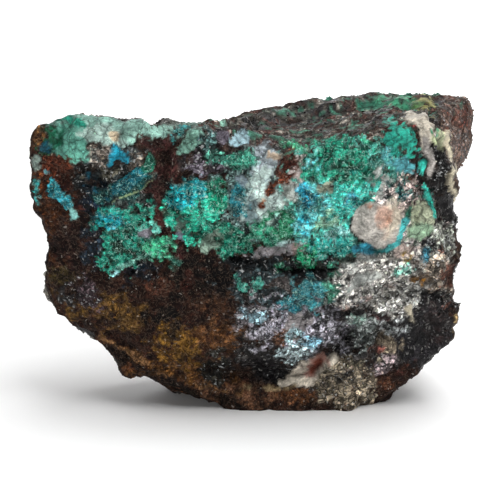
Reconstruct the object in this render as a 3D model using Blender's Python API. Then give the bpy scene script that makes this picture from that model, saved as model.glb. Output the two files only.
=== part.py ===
"""Chrysocolla specimen: one hand-sized block of iron-stained rock with copper-silicate crust on its broken face.

Units are millimetres until the last step, then metres. X runs along the block, -Y is the broken show face,
+Z is up, and Z = 0 is the flat foot that the block stands on. The origin is the middle of the block's box.
"""

import bmesh
import bpy
import numpy as np

MM = 0.001

# ---- Driving dimensions, in millimetres -------------------------------------------------------------------

# The rim of the show face, as (x, z) seen square on: four edge curves that share their corners.
TOP_FRONT = ((-46.2, 61.6), (-39.7, 62.6), (-32.6, 61.4), (-21.7, 61.2), (-13.8, 60.6), (-6.8, 59.6), (-0.9, 57.2),
             (8.0, 57.0), (16.9, 58.8), (24.8, 61.1), (33.2, 63.0))
RIGHT_FRONT = ((33.2, 63.0), (34.5, 58.0), (35.3, 50.9), (36.4, 44.6), (38.9, 38.2), (40.0, 33.7), (40.6, 25.9),
               (42.2, 19.2), (41.2, 13.6))
BOTTOM_FRONT = ((-43.6, 22.1), (-36.0, 17.2), (-31.5, 13.0), (-29.8, 9.6), (-26.4, 8.3), (-22.7, 7.6), (-12.3, 4.4),
                (-2.9, 1.8), (5.4, 0.3), (14.9, -0.4), (23.7, 0.8), (31.2, 6.4), (41.2, 13.6))
LEFT_FRONT = ((-46.2, 61.6), (-47.2, 55.7), (-47.4, 52.1), (-46.8, 46.5), (-44.6, 38.0), (-44.2, 30.5),
              (-44.9, 24.7), (-43.6, 22.1))

# The rim of the back, lower than the show face on the left and reaching further right than it.
TOP_BACK = ((-40.0, 50.0), (-24.0, 51.6), (-8.0, 55.2), (1.0, 58.6), (11.3, 60.8), (19.1, 62.2), (26.8, 62.9),
            (37.7, 62.9), (46.8, 62.6))
RIGHT_BACK = ((46.8, 62.6), (47.6, 58.0), (47.0, 50.6), (45.0, 46.8), (43.6, 44.2), (44.8, 40.2), (44.0, 38.1),
              (44.6, 33.9), (43.2, 30.7), (42.2, 22.7), (40.5, 14.4))
BOTTOM_BACK = ((-36.0, 24.0), (-25.0, 13.0), (-12.0, 5.0), (0.0, 1.0), (14.0, 0.0), (28.0, 3.0), (40.5, 14.4))
LEFT_BACK = ((-40.0, 50.0), (-42.0, 42.0), (-39.0, 33.0), (-36.0, 24.0))

# The planes that the show face broke along, as (depth y at x = 0 and z = 0, slope along x, slope along z).
# The point of the block nearest the viewer wins, so each plane recedes where another takes over.
SHOW_PLANES = (
    (-25.0, 0.00, 0.050),   # the upright upper face
    (-27.4, -0.17, 0.050),  # its left end, turned to the left
    (-11.2, 0.00, -0.400),  # the undercut below the crust
    (-17.6, -0.32, -0.260),  # the lower left, falling away to the left
    (-29.3, 0.24, 0.000),   # the right end
    (-18.0, 0.30, -0.330),  # the lower right corner
)
BACK_PLANES = (
    (23.0, 0.00, -0.030),   # the back
    (20.0, 0.35, 0.050),    # its left end
    (12.0, 0.05, 0.420),    # its undercut foot
    (33.0, -0.42, 0.020),   # its right end
)
PLANE_BLEND = 0.9   # how far two planes round into each other
FOOT_SAG = 9.0      # how far the underside would hang below its rims before the foot is cut flat
EDGE_POWER = 5      # how tightly the outward direction turns at an edge of the block
CORNER_POWER = 26   # how little the edges and corners of the block are rounded: higher is sharper

# The drawing plane: places on the show face are mm across and up it, as seen from an eye this far away.
EYE_DISTANCE = 375.0
EYE_TILT = np.radians(12.0)
EYE_AIM = np.array((-1.9, -22.0, 36.2))
DRAWING_MIDDLE_UP = 31.6

# ---- Forms cut into or standing on the show side: (across, up) in millimetres on the drawing plane ---------

# name: (middle, half sizes, turn in degrees, height); a height below zero is a hollow
DOMES = {
    "quartz pebble": ((25.6, 37.2), (5.0, 4.4), -20, 1.7),
    "pale lobe": ((36.0, 37.8), (3.0, 4.2), 10, 0.9),
    "corner lobe": ((-32.0, 53.0), (6.5, 5.0), -10, 0.9),
    "rim lobe": ((-18.0, 55.6), (6.0, 2.6), 0, 0.8),
    "leaning pebble": ((-3.0, 50.5), (3.4, 2.4), 40, 0.9),
    "tall quartz": ((15.0, 48.5), (3.2, 5.4), -15, 0.8),
    "eye bowl": ((-27.6, 48.4), (7.6, 4.6), 12, -1.6),
    "green hollow": ((-24.0, 33.0), (8.0, 6.0), 20, -0.8),
    "crust swell": ((21.0, 47.5), (9.0, 7.0), 15, 1.3),
    "brown belly": ((-22.0, 20.0), (16.0, 9.0), -15, 1.5),
    "brown cheek": ((-2.0, 13.0), (9.0, 7.0), 10, 0.9),
    "left brow": ((-39.5, 40.0), (5.0, 7.0), 0, 0.8),
    "shadow cave": ((12.0, 27.0), (9.5, 1.9), -3, -2.0),
    "dark pocket": ((19.4, 15.0), (1.8, 2.2), 30, -2.6),
    "small pocket": ((21.0, 20.2), (1.7, 0.9), 20, -1.8),
    "black hollow": ((5.0, 6.4), (4.2, 1.9), -8, -0.8),
    "black face": ((34.5, 14.5), (6.0, 6.0), 25, -1.0),
    "grey shoulder": ((38.6, 29.5), (3.4, 4.2), 0, 1.2),
    "keel knob": ((-24.2, 8.4), (2.8, 1.9), -20, 1.5),
    "top pocket": ((35.8, 50.6), (1.2, 1.6), 0, -1.3),
}
# name: (path, half width, height); a height below zero is a groove
RIBS = {
    "chalk vein": (((34.6, 58.4), (36.0, 54.0), (36.4, 49.0), (37.2, 44.5)), 1.3, 1.2),
    "side groove": (((38.4, 53.0), (38.6, 46.5), (38.8, 41.0), (41.2, 35.0), (42.2, 32.0)), 1.7, -2.3),
    "cream vein": (((39.8, 51.0), (40.4, 46.0), (40.0, 41.5), (42.0, 37.0)), 0.8, 0.9),
    "crust crack": (((34.2, 51.5), (34.2, 46.6), (33.2, 42.0), (33.0, 37.0)), 0.6, -0.9),
    "bowl rim": (((-30.6, 43.6), (-25.0, 44.6), (-21.0, 47.6), (-19.0, 51.6)), 1.1, 1.2),
    "brown channel": (((-19.6, 56.2), (-18.0, 50.0), (-17.0, 44.0), (-14.4, 38.0), (-9.4, 33.4)), 2.4, -1.3),
    "red channel": (((11.4, 52.2), (9.8, 47.0), (6.4, 42.4)), 1.1, -0.9),
    "under-crust shadow": (((-4.6, 30.6), (1.6, 28.2), (9.0, 27.6), (17.0, 27.8)), 1.2, -1.5),
    "long ledge": (((16.6, 9.2), (19.6, 13.0), (20.6, 18.6), (24.0, 19.6), (29.0, 21.6)), 0.9, 1.0),
    "foot lip": (((-4.0, 5.0), (2.0, 3.8), (8.6, 4.2), (13.0, 6.6), (16.6, 9.2)), 0.9, 1.1),
}
# name: (path, how far the side to the right of the path drops, over what width, how far the drop reaches)
STEPS = {
    "foot recess": (((24.0, 11.8), (16.8, 9.0), (12.6, 5.8), (8.0, 3.2), (0.0, 3.4), (-6.0, 5.4)), -2.0, 0.7, 9.0),
    "crust overhang": (((20.4, 29.2), (14.0, 28.4), (3.0, 28.6), (-3.6, 31.0), (-9.4, 32.8)), -1.3, 0.6, 14.0),
    "lower right drop": (((40.0, 21.0), (29.0, 21.6), (24.0, 19.4), (20.4, 18.4)), -1.4, 0.6, 12.0),
    "right side drop": (((37.0, 30.0), (38.4, 38.0), (37.6, 46.0), (36.6, 56.0), (35.4, 59.4)), -1.0, 0.7, 9.0),
    "top layer": (((36.0, 59.4), (24.0, 60.6), (12.0, 59.6), (2.0, 57.0)), 1.0, 0.6, 9.0),
}

# ---- Surface roughness -------------------------------------------------------------------------------------

# (size, height, curve): a curve above zero is scoops that meet at ridges, below zero lumps that meet at creases.
BROAD_SCOOPS = (19.0, 6.0, 0.6)
CHIP_SCOOPS = (8.0, 2.2, 0.8)
SMALL_LUMPS = (3.4, 0.9, -1.3)
SHOW_SIDE_BROAD = 0.45  # share of the broad scoops that the show side has: its own planes shape it
WANDER = (5.0, 1.5)     # size and reach of the noise that bends the borders between scoops
FORM_WANDER = 0.7       # how far that noise bends the named forms

GRID_CUTS = 60          # cuts along each edge of the block that the stone is shaped from
TRIANGLES = 9600        # what is left after flat areas are thinned
FOOT_CUTTER = 200.0     # side of the box that cuts the foot flat

ROCK_BROWN = (0.115, 0.062, 0.038, 1.0)
ROCK_ROUGHNESS = 0.85


# ---- Repeatable noise --------------------------------------------------------------------------------------


def hashed(cells, salt):
    """A repeatable number from 0 to 1 for each whole-number cell."""
    a = cells.astype(np.int64).astype(np.uint32)
    mixed = a[..., 0] * np.uint32(374761393) + a[..., 1] * np.uint32(668265263) + a[..., 2] * np.uint32(2246822519)
    mixed = mixed + np.uint32((salt * 3266489917) % 2**32)
    mixed = (mixed ^ (mixed >> np.uint32(15))) * np.uint32(2654435761)
    mixed = (mixed ^ (mixed >> np.uint32(13))) * np.uint32(1274126177)
    return (mixed ^ (mixed >> np.uint32(16))) / 2.0**32


def noise(points, size, salt):
    """Smooth noise from -1 to 1: each point blends the random values of its cell's eight corners."""
    scaled = points / size
    cell = np.floor(scaled)
    part = scaled - cell
    part = part * part * (3 - 2 * part)
    total = np.zeros(len(points))
    for corner in np.ndindex(2, 2, 2):
        share = np.prod(np.where(corner, part, 1 - part), axis=1)
        total += share * hashed(cell + corner, salt)
    return 2 * total - 1


def fractal(points, size, octaves, salt):
    """Noise with each octave half the size and half the height of the one before."""
    return sum(noise(points, size / 2**k, salt + k) / 2**k for k in range(octaves))


def facets(points, size, height, curve, salt):
    """Facets around scattered seeds, each a tilted plane plus a curve times its distance from the seed squared.

    A curve above zero takes the lowest facet at each point, which leaves scoops; below zero the highest, lumps.
    """
    scaled = points / size
    home = np.floor(scaled)
    fold = np.minimum if curve > 0 else np.maximum
    level = np.full(len(points), np.inf if curve > 0 else -np.inf)
    for offset in np.ndindex(3, 3, 3):
        cell = home + offset - 1
        seed = cell + np.stack([hashed(cell, salt + k) for k in range(3)], axis=1)
        tilt = np.stack([hashed(cell, salt + 3 + k) for k in range(3)], axis=1) - 0.5
        away = scaled - seed
        offset_height = 0.5 * (hashed(cell, salt + 6) - 0.5)
        level = fold(level, (away * tilt).sum(axis=1) + offset_height + curve * (away**2).sum(axis=1))
    return height * (level - 0.15 * curve)


# ---- The block ---------------------------------------------------------------------------------------------


def along(curve, share):
    """Points at these shares, 0 to 1, of the length of a curve given by its points."""
    curve = np.array(curve)
    steps = np.linalg.norm(np.diff(curve, axis=0), axis=1)
    marks = np.concatenate([[0], np.cumsum(steps)]) / steps.sum()
    return np.stack([np.interp(share, marks, curve[:, k]) for k in range(curve.shape[1])], axis=-1)


def sheet(top, right, bottom, left, s, t):
    """The Coons patch of four edge curves: (x, z) at share s from left to right and share t from bottom to top."""
    s, t = s[:, None], t[:, None]
    across = (1 - t) * along(bottom, s[:, 0]) + t * along(top, s[:, 0])
    upward = (1 - s) * along(left, 1 - t[:, 0]) + s * along(right, 1 - t[:, 0])
    corners = (1 - t) * ((1 - s) * np.array(bottom[0]) + s * np.array(bottom[-1]))
    corners += t * ((1 - s) * np.array(top[0]) + s * np.array(top[-1]))
    return across + upward - corners


def broken_face(xz, planes, side):
    """Depth y of a face that broke along several planes: the innermost wins, rounded where two meet."""
    depths = np.stack([y + slope_x * xz[:, 0] + slope_z * xz[:, 1] for y, slope_x, slope_z in planes])
    return -side * PLANE_BLEND * np.log(np.exp(-side * depths / PLANE_BLEND).sum(axis=0))


def block(cube):
    """The plain block for points on the cube from -1 to 1: ruled lines from the show sheet back to the back sheet."""
    s, w, t = ((cube + 1) / 2).T
    front = sheet(TOP_FRONT, RIGHT_FRONT, BOTTOM_FRONT, LEFT_FRONT, s, t)
    back = sheet(TOP_BACK, RIGHT_BACK, BOTTOM_BACK, LEFT_BACK, s, t)
    y = (1 - w) * broken_face(front, SHOW_PLANES, -1) + w * broken_face(back, BACK_PLANES, 1)
    x, z = ((1 - w)[:, None] * front + w[:, None] * back).T
    sag = FOOT_SAG * 4 * w * (1 - w) * (1 - (2 * s - 1) ** 2) * (1 - t) ** 2
    return np.stack([x, y, z - sag], axis=1)


def outward(cube):
    """The unit direction that roughness stands out in: square to the faces, turning smoothly at the edges."""
    powered = cube**EDGE_POWER
    return powered / np.linalg.norm(powered, axis=1, keepdims=True)


def drawing_place(points):
    """(across, up) of each point on the drawing plane."""
    ahead = np.array((0.0, np.cos(EYE_TILT), -np.sin(EYE_TILT)))
    upward = np.array((0.0, np.sin(EYE_TILT), np.cos(EYE_TILT)))
    from_eye = points - (EYE_AIM - EYE_DISTANCE * ahead)
    scale = EYE_DISTANCE / (from_eye @ ahead)
    return np.stack([from_eye[:, 0] * scale, from_eye @ upward * scale + DRAWING_MIDDLE_UP], axis=1)


def rise(share):
    """Smooth rise from 0 to 1 as the share goes from 0 to 1."""
    share = np.clip(share, 0, 1)
    return share * share * (3 - 2 * share)


def dome(place, middle, half_sizes, turn, height):
    """A rounded lump or hollow over a turned ellipse: height times (1 - r squared), r from 0 to 1 at its edge."""
    angle = np.radians(turn)
    off = place - middle
    u = (off[:, 0] * np.cos(angle) + off[:, 1] * np.sin(angle)) / half_sizes[0]
    v = (off[:, 1] * np.cos(angle) - off[:, 0] * np.sin(angle)) / half_sizes[1]
    return height * rise(1 - (u * u + v * v))


def from_path(place, path):
    """Distance of each place from a path, and the same distance, above zero only right of the path's direction."""
    best = np.full(len(place), np.inf)
    signed = np.zeros(len(place))
    for start, end in zip(np.array(path[:-1]), np.array(path[1:])):
        run = end - start
        share = np.clip((place - start) @ run / (run @ run), 0, 1)
        off = place - (start + share[:, None] * run)
        distance = np.linalg.norm(off, axis=1)
        side = np.sign(off[:, 1] * run[0] - off[:, 0] * run[1])
        signed = np.where(distance < best, -side * distance, signed)
        best = np.minimum(best, distance)
    return best, signed


def rib(place, path, half_width, height):
    """A rounded rib or groove that follows a path."""
    return height * rise(1 - from_path(place, path)[0] / half_width)


def step(place, path, change, width, reach):
    """A ledge: the surface right of the path changes height at once, then comes back over its reach."""
    _, signed = from_path(place, path)
    return change * rise(signed / width + 0.5) * rise(1 - signed / reach)


def show_side_forms(place):
    """The height of all the named lumps, hollows, ribs, grooves and ledges at places on the drawing plane."""
    height = sum(dome(place, *form) for form in DOMES.values())
    height = height + sum(rib(place, *form) for form in RIBS.values())
    return height + sum(step(place, *form) for form in STEPS.values())


def slopes_away(cube):
    """1 on the left of the block behind its show face, where the top dips out of the eye's sight, else 0."""
    return rise((cube[:, 1] + 0.75) / 0.3) * rise(-cube[:, 0] / 0.2)


def stone_surface(cube):
    """The stone for points on the cube: the block, its named forms and its roughness."""
    softened = cube / (np.abs(cube) ** CORNER_POWER).sum(axis=1, keepdims=True) ** (1 / CORNER_POWER)
    plain = block(softened)
    direction = outward(cube)
    to_eye = np.array((0.0, -np.cos(EYE_TILT), np.sin(EYE_TILT)))
    seen = rise(direction @ to_eye / 0.15) * (1 - slopes_away(softened))
    wander = np.stack([fractal(plain, WANDER[0], 2, salt) for salt in (11, 21, 31)], axis=1)
    place = drawing_place(plain) + FORM_WANDER * wander[:, [0, 2]]
    bent = plain + WANDER[1] * wander
    height = seen * show_side_forms(place)
    height += (1 - (1 - SHOW_SIDE_BROAD) * seen) * facets(bent, *BROAD_SCOOPS, 41)
    height += facets(bent, *CHIP_SCOOPS, 51)
    height += facets(bent, *SMALL_LUMPS, 61)
    return plain + height[:, None] * direction


# ---- Scene -------------------------------------------------------------------------------------------------


def clear_scene():
    for old in list(bpy.data.objects):
        bpy.data.objects.remove(old)


def rock_material():
    material = bpy.data.materials.new("iron_stained_rock")
    material.use_nodes = True
    shader = material.node_tree.nodes["Principled BSDF"]
    shader.inputs["Base Color"].default_value = ROCK_BROWN
    shader.inputs["Roughness"].default_value = ROCK_ROUGHNESS
    shader.inputs["Metallic"].default_value = 0.0
    return material


def move_to(collection, piece):
    for owner in list(piece.users_collection):
        owner.objects.unlink(piece)
    collection.objects.link(piece)


def make_foot_cutter(collection):
    """A box whose top is the plane Z = 0."""
    bpy.ops.mesh.primitive_cube_add(size=FOOT_CUTTER * MM, location=(0, 0, -FOOT_CUTTER / 2 * MM))
    cutter = bpy.context.object
    cutter.name = "foot_cutter"
    cutter.hide_render = True
    cutter.display_type = "WIRE"
    move_to(collection, cutter)
    return cutter


def make_stone(collection, cutter):
    """A cube cut into a fine grid, with every point moved onto the stone, thinned, then cut flat at the foot."""
    bpy.ops.mesh.primitive_cube_add(size=2)
    stone = bpy.context.object
    stone.name = "chrysocolla_specimen"
    move_to(collection, stone)

    grid = bmesh.new()
    grid.from_mesh(stone.data)
    bmesh.ops.subdivide_edges(grid, edges=grid.edges[:], cuts=GRID_CUTS, use_grid_fill=True)
    grid.to_mesh(stone.data)
    grid.free()

    cube = np.empty(len(stone.data.vertices) * 3)
    stone.data.vertices.foreach_get("co", cube)
    points = stone_surface(cube.reshape(-1, 3)) * MM
    stone.data.vertices.foreach_set("co", points.ravel())
    stone.data.update()

    thin = stone.modifiers.new("thin the flats", "DECIMATE")
    thin.ratio = TRIANGLES / (2 * len(stone.data.polygons))
    thin.use_collapse_triangulate = True
    flat = stone.modifiers.new("flat foot", "BOOLEAN")
    flat.operation = "DIFFERENCE"
    flat.object = cutter
    stone.data.materials.append(rock_material())
    return stone


def main():
    clear_scene()
    parts = bpy.data.collections.new("chrysocolla_specimen")
    cutters = bpy.data.collections.new("cutters")
    bpy.context.scene.collection.children.link(parts)
    bpy.context.scene.collection.children.link(cutters)
    make_stone(parts, make_foot_cutter(cutters))


main()
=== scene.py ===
"""Chrysocolla specimen: a hand-sized block of iron-stained rock whose broken show face carries blue-green crust.

Lengths are millimetres until a mesh is made, then metres. X runs along the block, -Y is the show face, +Z is up.
The block is one closed surface: two sheets, front and back, joined by a belt of rings. Named forms (domes, ribs,
ledges) raise and cut it, a map of named minerals says what each point is made of, and each mineral habit (moss, druse,
earth, gloss, wax, chalk) has its own fine relief. The map also holds painted shade in holes, hollows and recesses and a
painted highlight on a ridge, and the colour is darkened in pits and lightened on crests as painted shade and light.
Joined meshes of grains and fibres sit on that surface.
"""

import bpy
import numpy as np
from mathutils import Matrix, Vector

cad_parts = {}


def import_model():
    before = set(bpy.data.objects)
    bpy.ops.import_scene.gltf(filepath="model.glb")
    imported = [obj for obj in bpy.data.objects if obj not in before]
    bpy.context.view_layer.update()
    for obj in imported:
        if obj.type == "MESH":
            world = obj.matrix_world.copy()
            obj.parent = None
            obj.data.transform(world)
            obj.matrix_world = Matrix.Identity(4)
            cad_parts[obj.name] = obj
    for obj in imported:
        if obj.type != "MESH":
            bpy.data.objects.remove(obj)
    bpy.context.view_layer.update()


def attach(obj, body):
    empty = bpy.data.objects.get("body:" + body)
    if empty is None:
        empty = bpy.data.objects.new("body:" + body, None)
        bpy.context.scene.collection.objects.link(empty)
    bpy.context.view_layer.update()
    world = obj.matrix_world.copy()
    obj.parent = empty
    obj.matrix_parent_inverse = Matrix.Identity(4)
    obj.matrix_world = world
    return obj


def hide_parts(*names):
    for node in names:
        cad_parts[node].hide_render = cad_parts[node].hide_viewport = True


MM = 0.001
NODE = "chrysocolla_specimen"

# ---- The block, as its solid has it -------------------------------------------------------------------------

# The rim of the show face, as (x, z) seen square on: four edge curves that share their corners.
TOP_FRONT = ((-46.2, 61.6), (-39.7, 62.6), (-32.6, 61.4), (-21.7, 61.2), (-13.8, 60.6), (-6.8, 59.6), (-0.9, 57.2),
             (8.0, 57.0), (16.9, 58.8), (24.8, 61.1), (33.2, 63.0))
RIGHT_FRONT = ((33.2, 63.0), (34.5, 58.0), (35.3, 50.9), (36.4, 44.6), (38.9, 38.2), (40.0, 33.7), (40.6, 25.9),
               (42.2, 19.2), (41.2, 13.6))
BOTTOM_FRONT = ((-43.6, 22.1), (-36.0, 17.2), (-31.5, 13.0), (-29.8, 9.6), (-26.4, 8.3), (-22.7, 7.6), (-12.3, 4.4),
                (-2.9, 1.8), (5.4, 0.3), (14.9, -0.4), (23.7, 0.8), (31.2, 6.4), (41.2, 13.6))
LEFT_FRONT = ((-46.2, 61.6), (-47.2, 55.7), (-47.4, 52.1), (-46.8, 46.5), (-44.6, 38.0), (-44.2, 30.5),
              (-44.9, 24.7), (-43.6, 22.1))

# The rim of the back, lower than the show face on the left and reaching further right than it.
TOP_BACK = ((-40.0, 50.0), (-24.0, 51.6), (-8.0, 55.2), (1.0, 58.6), (11.3, 60.8), (19.1, 62.2), (26.8, 62.9),
            (37.7, 62.9), (46.8, 62.6))
RIGHT_BACK = ((46.8, 62.6), (47.6, 58.0), (47.0, 50.6), (45.0, 46.8), (43.6, 44.2), (44.8, 40.2), (44.0, 38.1),
              (44.6, 33.9), (43.2, 30.7), (42.2, 22.7), (40.5, 14.4))
BOTTOM_BACK = ((-36.0, 24.0), (-25.0, 13.0), (-12.0, 5.0), (0.0, 1.0), (14.0, 0.0), (28.0, 3.0), (40.5, 14.4))
LEFT_BACK = ((-40.0, 50.0), (-42.0, 42.0), (-39.0, 33.0), (-36.0, 24.0))

# Planes that a face broke along: (depth y at x = 0 and z = 0, slope along x, slope along z).
SHOW_PLANES = (
    (-25.0, 0.00, 0.050),
    (-27.4, -0.17, 0.050),
    (-11.2, 0.00, -0.400),
    (-17.6, -0.32, -0.260),
    (-29.3, 0.24, 0.000),
    (-18.0, 0.30, -0.330),
)
BACK_PLANES = (
    (23.0, 0.00, -0.030),
    (20.0, 0.35, 0.050),
    (12.0, 0.05, 0.420),
    (33.0, -0.42, 0.020),
)
PLANE_BLEND = 0.9
FOOT_SAG = 9.0
EDGE_POWER = 5
CORNER_POWER = 26

# The drawing plane: places on the show face are mm across and up it, as seen from an eye this far away.
EYE_DISTANCE = 375.0
EYE_TILT = np.radians(12.0)
EYE_AIM = np.array((-1.9, -22.0, 36.2))
DRAWING_MIDDLE_UP = 31.6

# name: (middle, half sizes, turn in degrees, height); a height below zero is a hollow
DOMES = {
    "quartz pebble": ((25.6, 37.2), (5.0, 4.4), -20, 1.7),
    "pale lobe": ((36.0, 37.8), (3.0, 4.2), 10, 0.9),
    "corner lobe": ((-32.0, 53.0), (6.5, 5.0), -10, 0.9),
    "rim lobe": ((-18.0, 55.6), (6.0, 2.6), 0, 0.8),
    "leaning pebble": ((-3.0, 50.5), (3.4, 2.4), 40, 0.9),
    "tall quartz": ((15.0, 48.5), (3.2, 5.4), -15, 0.8),
    "eye bowl": ((-27.6, 48.4), (7.6, 4.6), 12, -1.6),
    "green hollow": ((-24.0, 33.0), (8.0, 6.0), 20, -0.8),
    "crust swell": ((21.0, 47.5), (9.0, 7.0), 15, 1.3),
    "brown belly": ((-22.0, 20.0), (16.0, 9.0), -15, 1.5),
    "brown cheek": ((-2.0, 13.0), (9.0, 7.0), 10, 0.9),
    "left brow": ((-39.5, 40.0), (5.0, 7.0), 0, 0.8),
    "shadow cave": ((12.0, 27.0), (9.5, 1.9), -3, -2.0),
    "dark pocket": ((19.4, 15.0), (1.8, 2.2), 30, -2.6),
    "small pocket": ((21.0, 20.2), (1.7, 0.9), 20, -1.8),
    "black hollow": ((5.0, 6.4), (4.2, 1.9), -8, -0.8),
    "black face": ((34.5, 14.5), (6.0, 6.0), 25, -1.0),
    "grey shoulder": ((38.6, 29.5), (3.4, 4.2), 0, 1.2),
    "keel knob": ((-24.2, 8.4), (2.8, 1.9), -20, 1.5),
    "top pocket": ((35.8, 50.6), (1.2, 1.6), 0, -1.3),
}
# name: (path, half width, height); a height below zero is a groove
RIBS = {
    "chalk vein": (((34.6, 58.4), (36.0, 54.0), (36.4, 49.0), (37.2, 44.5)), 1.3, 1.2),
    "side groove": (((38.4, 53.0), (38.6, 46.5), (38.8, 41.0), (41.2, 35.0), (42.2, 32.0)), 1.7, -2.3),
    "cream vein": (((39.8, 51.0), (40.4, 46.0), (40.0, 41.5), (42.0, 37.0)), 0.8, 0.9),
    "crust crack": (((34.2, 51.5), (34.2, 46.6), (33.2, 42.0), (33.0, 37.0)), 0.6, -0.9),
    "bowl rim": (((-30.6, 43.6), (-25.0, 44.6), (-21.0, 47.6), (-19.0, 51.6)), 1.1, 1.2),
    "brown channel": (((-19.6, 56.2), (-18.0, 50.0), (-17.0, 44.0), (-14.4, 38.0), (-9.4, 33.4)), 2.4, -1.3),
    "red channel": (((11.4, 52.2), (9.8, 47.0), (6.4, 42.4)), 1.1, -0.9),
    "under-crust shadow": (((-4.6, 30.6), (1.6, 28.2), (9.0, 27.6), (17.0, 27.8)), 1.2, -1.5),
    "belly ridge": (((-29.8, 14.2), (-23.4, 10.6), (-16.6, 6.8), (-9.6, 4.4), (-2.0, 3.4)), 1.2, 0.9),
    "long ledge": (((16.6, 9.2), (19.6, 13.0), (20.6, 18.6), (24.0, 19.6), (29.0, 21.6)), 0.9, 1.0),
    "foot lip": (((-4.0, 5.0), (2.0, 3.8), (8.6, 4.2), (13.0, 6.6), (16.6, 9.2)), 0.9, 1.1),
    "foot swell": (((-3.0, 0.6), (4.0, -0.4), (12.0, -1.0), (19.0, 0.0)), 4.0, 3.2),
}
# name: (path, how far the side to the right of the path drops, over what width, how far the drop reaches)
STEPS = {
    "foot recess": (((24.0, 11.8), (16.8, 9.0), (12.6, 5.8), (8.0, 3.2), (0.0, 3.4), (-6.0, 5.4)), -2.0, 0.7, 9.0),
    "crust overhang": (((20.4, 29.2), (14.0, 28.4), (3.0, 28.6), (-3.6, 31.0), (-9.4, 32.8)), -1.3, 0.6, 14.0),
    "lower right drop": (((40.0, 21.0), (29.0, 21.6), (24.0, 19.4), (20.4, 18.4)), -1.4, 0.6, 12.0),
    "right side drop": (((37.0, 30.0), (38.4, 38.0), (37.6, 46.0), (36.6, 56.0), (35.4, 59.4)), -1.0, 0.7, 9.0),
    "top layer": (((36.0, 59.4), (24.0, 60.6), (12.0, 59.6), (2.0, 57.0)), 1.0, 0.6, 9.0),
}

# (size, height, curve): a curve above zero is scoops that meet at ridges, below zero lumps that meet at creases.
BROAD_SCOOPS = (19.0, 6.0, 0.6)
CHIP_SCOOPS = (8.0, 2.2, 0.8)
SMALL_LUMPS = (3.4, 0.9, -1.3)
SHOW_SIDE_BROAD = 0.45
WANDER = (5.0, 1.5)
FORM_WANDER = 0.7

# ---- The mineral map ----------------------------------------------------------------------------------------

# Habits: how a mineral grows, which sets its fine relief, its grain and its gloss.
EARTH, MOSS, DRUSE, GLOSS, WAX, CHALK = range(6)
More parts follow.
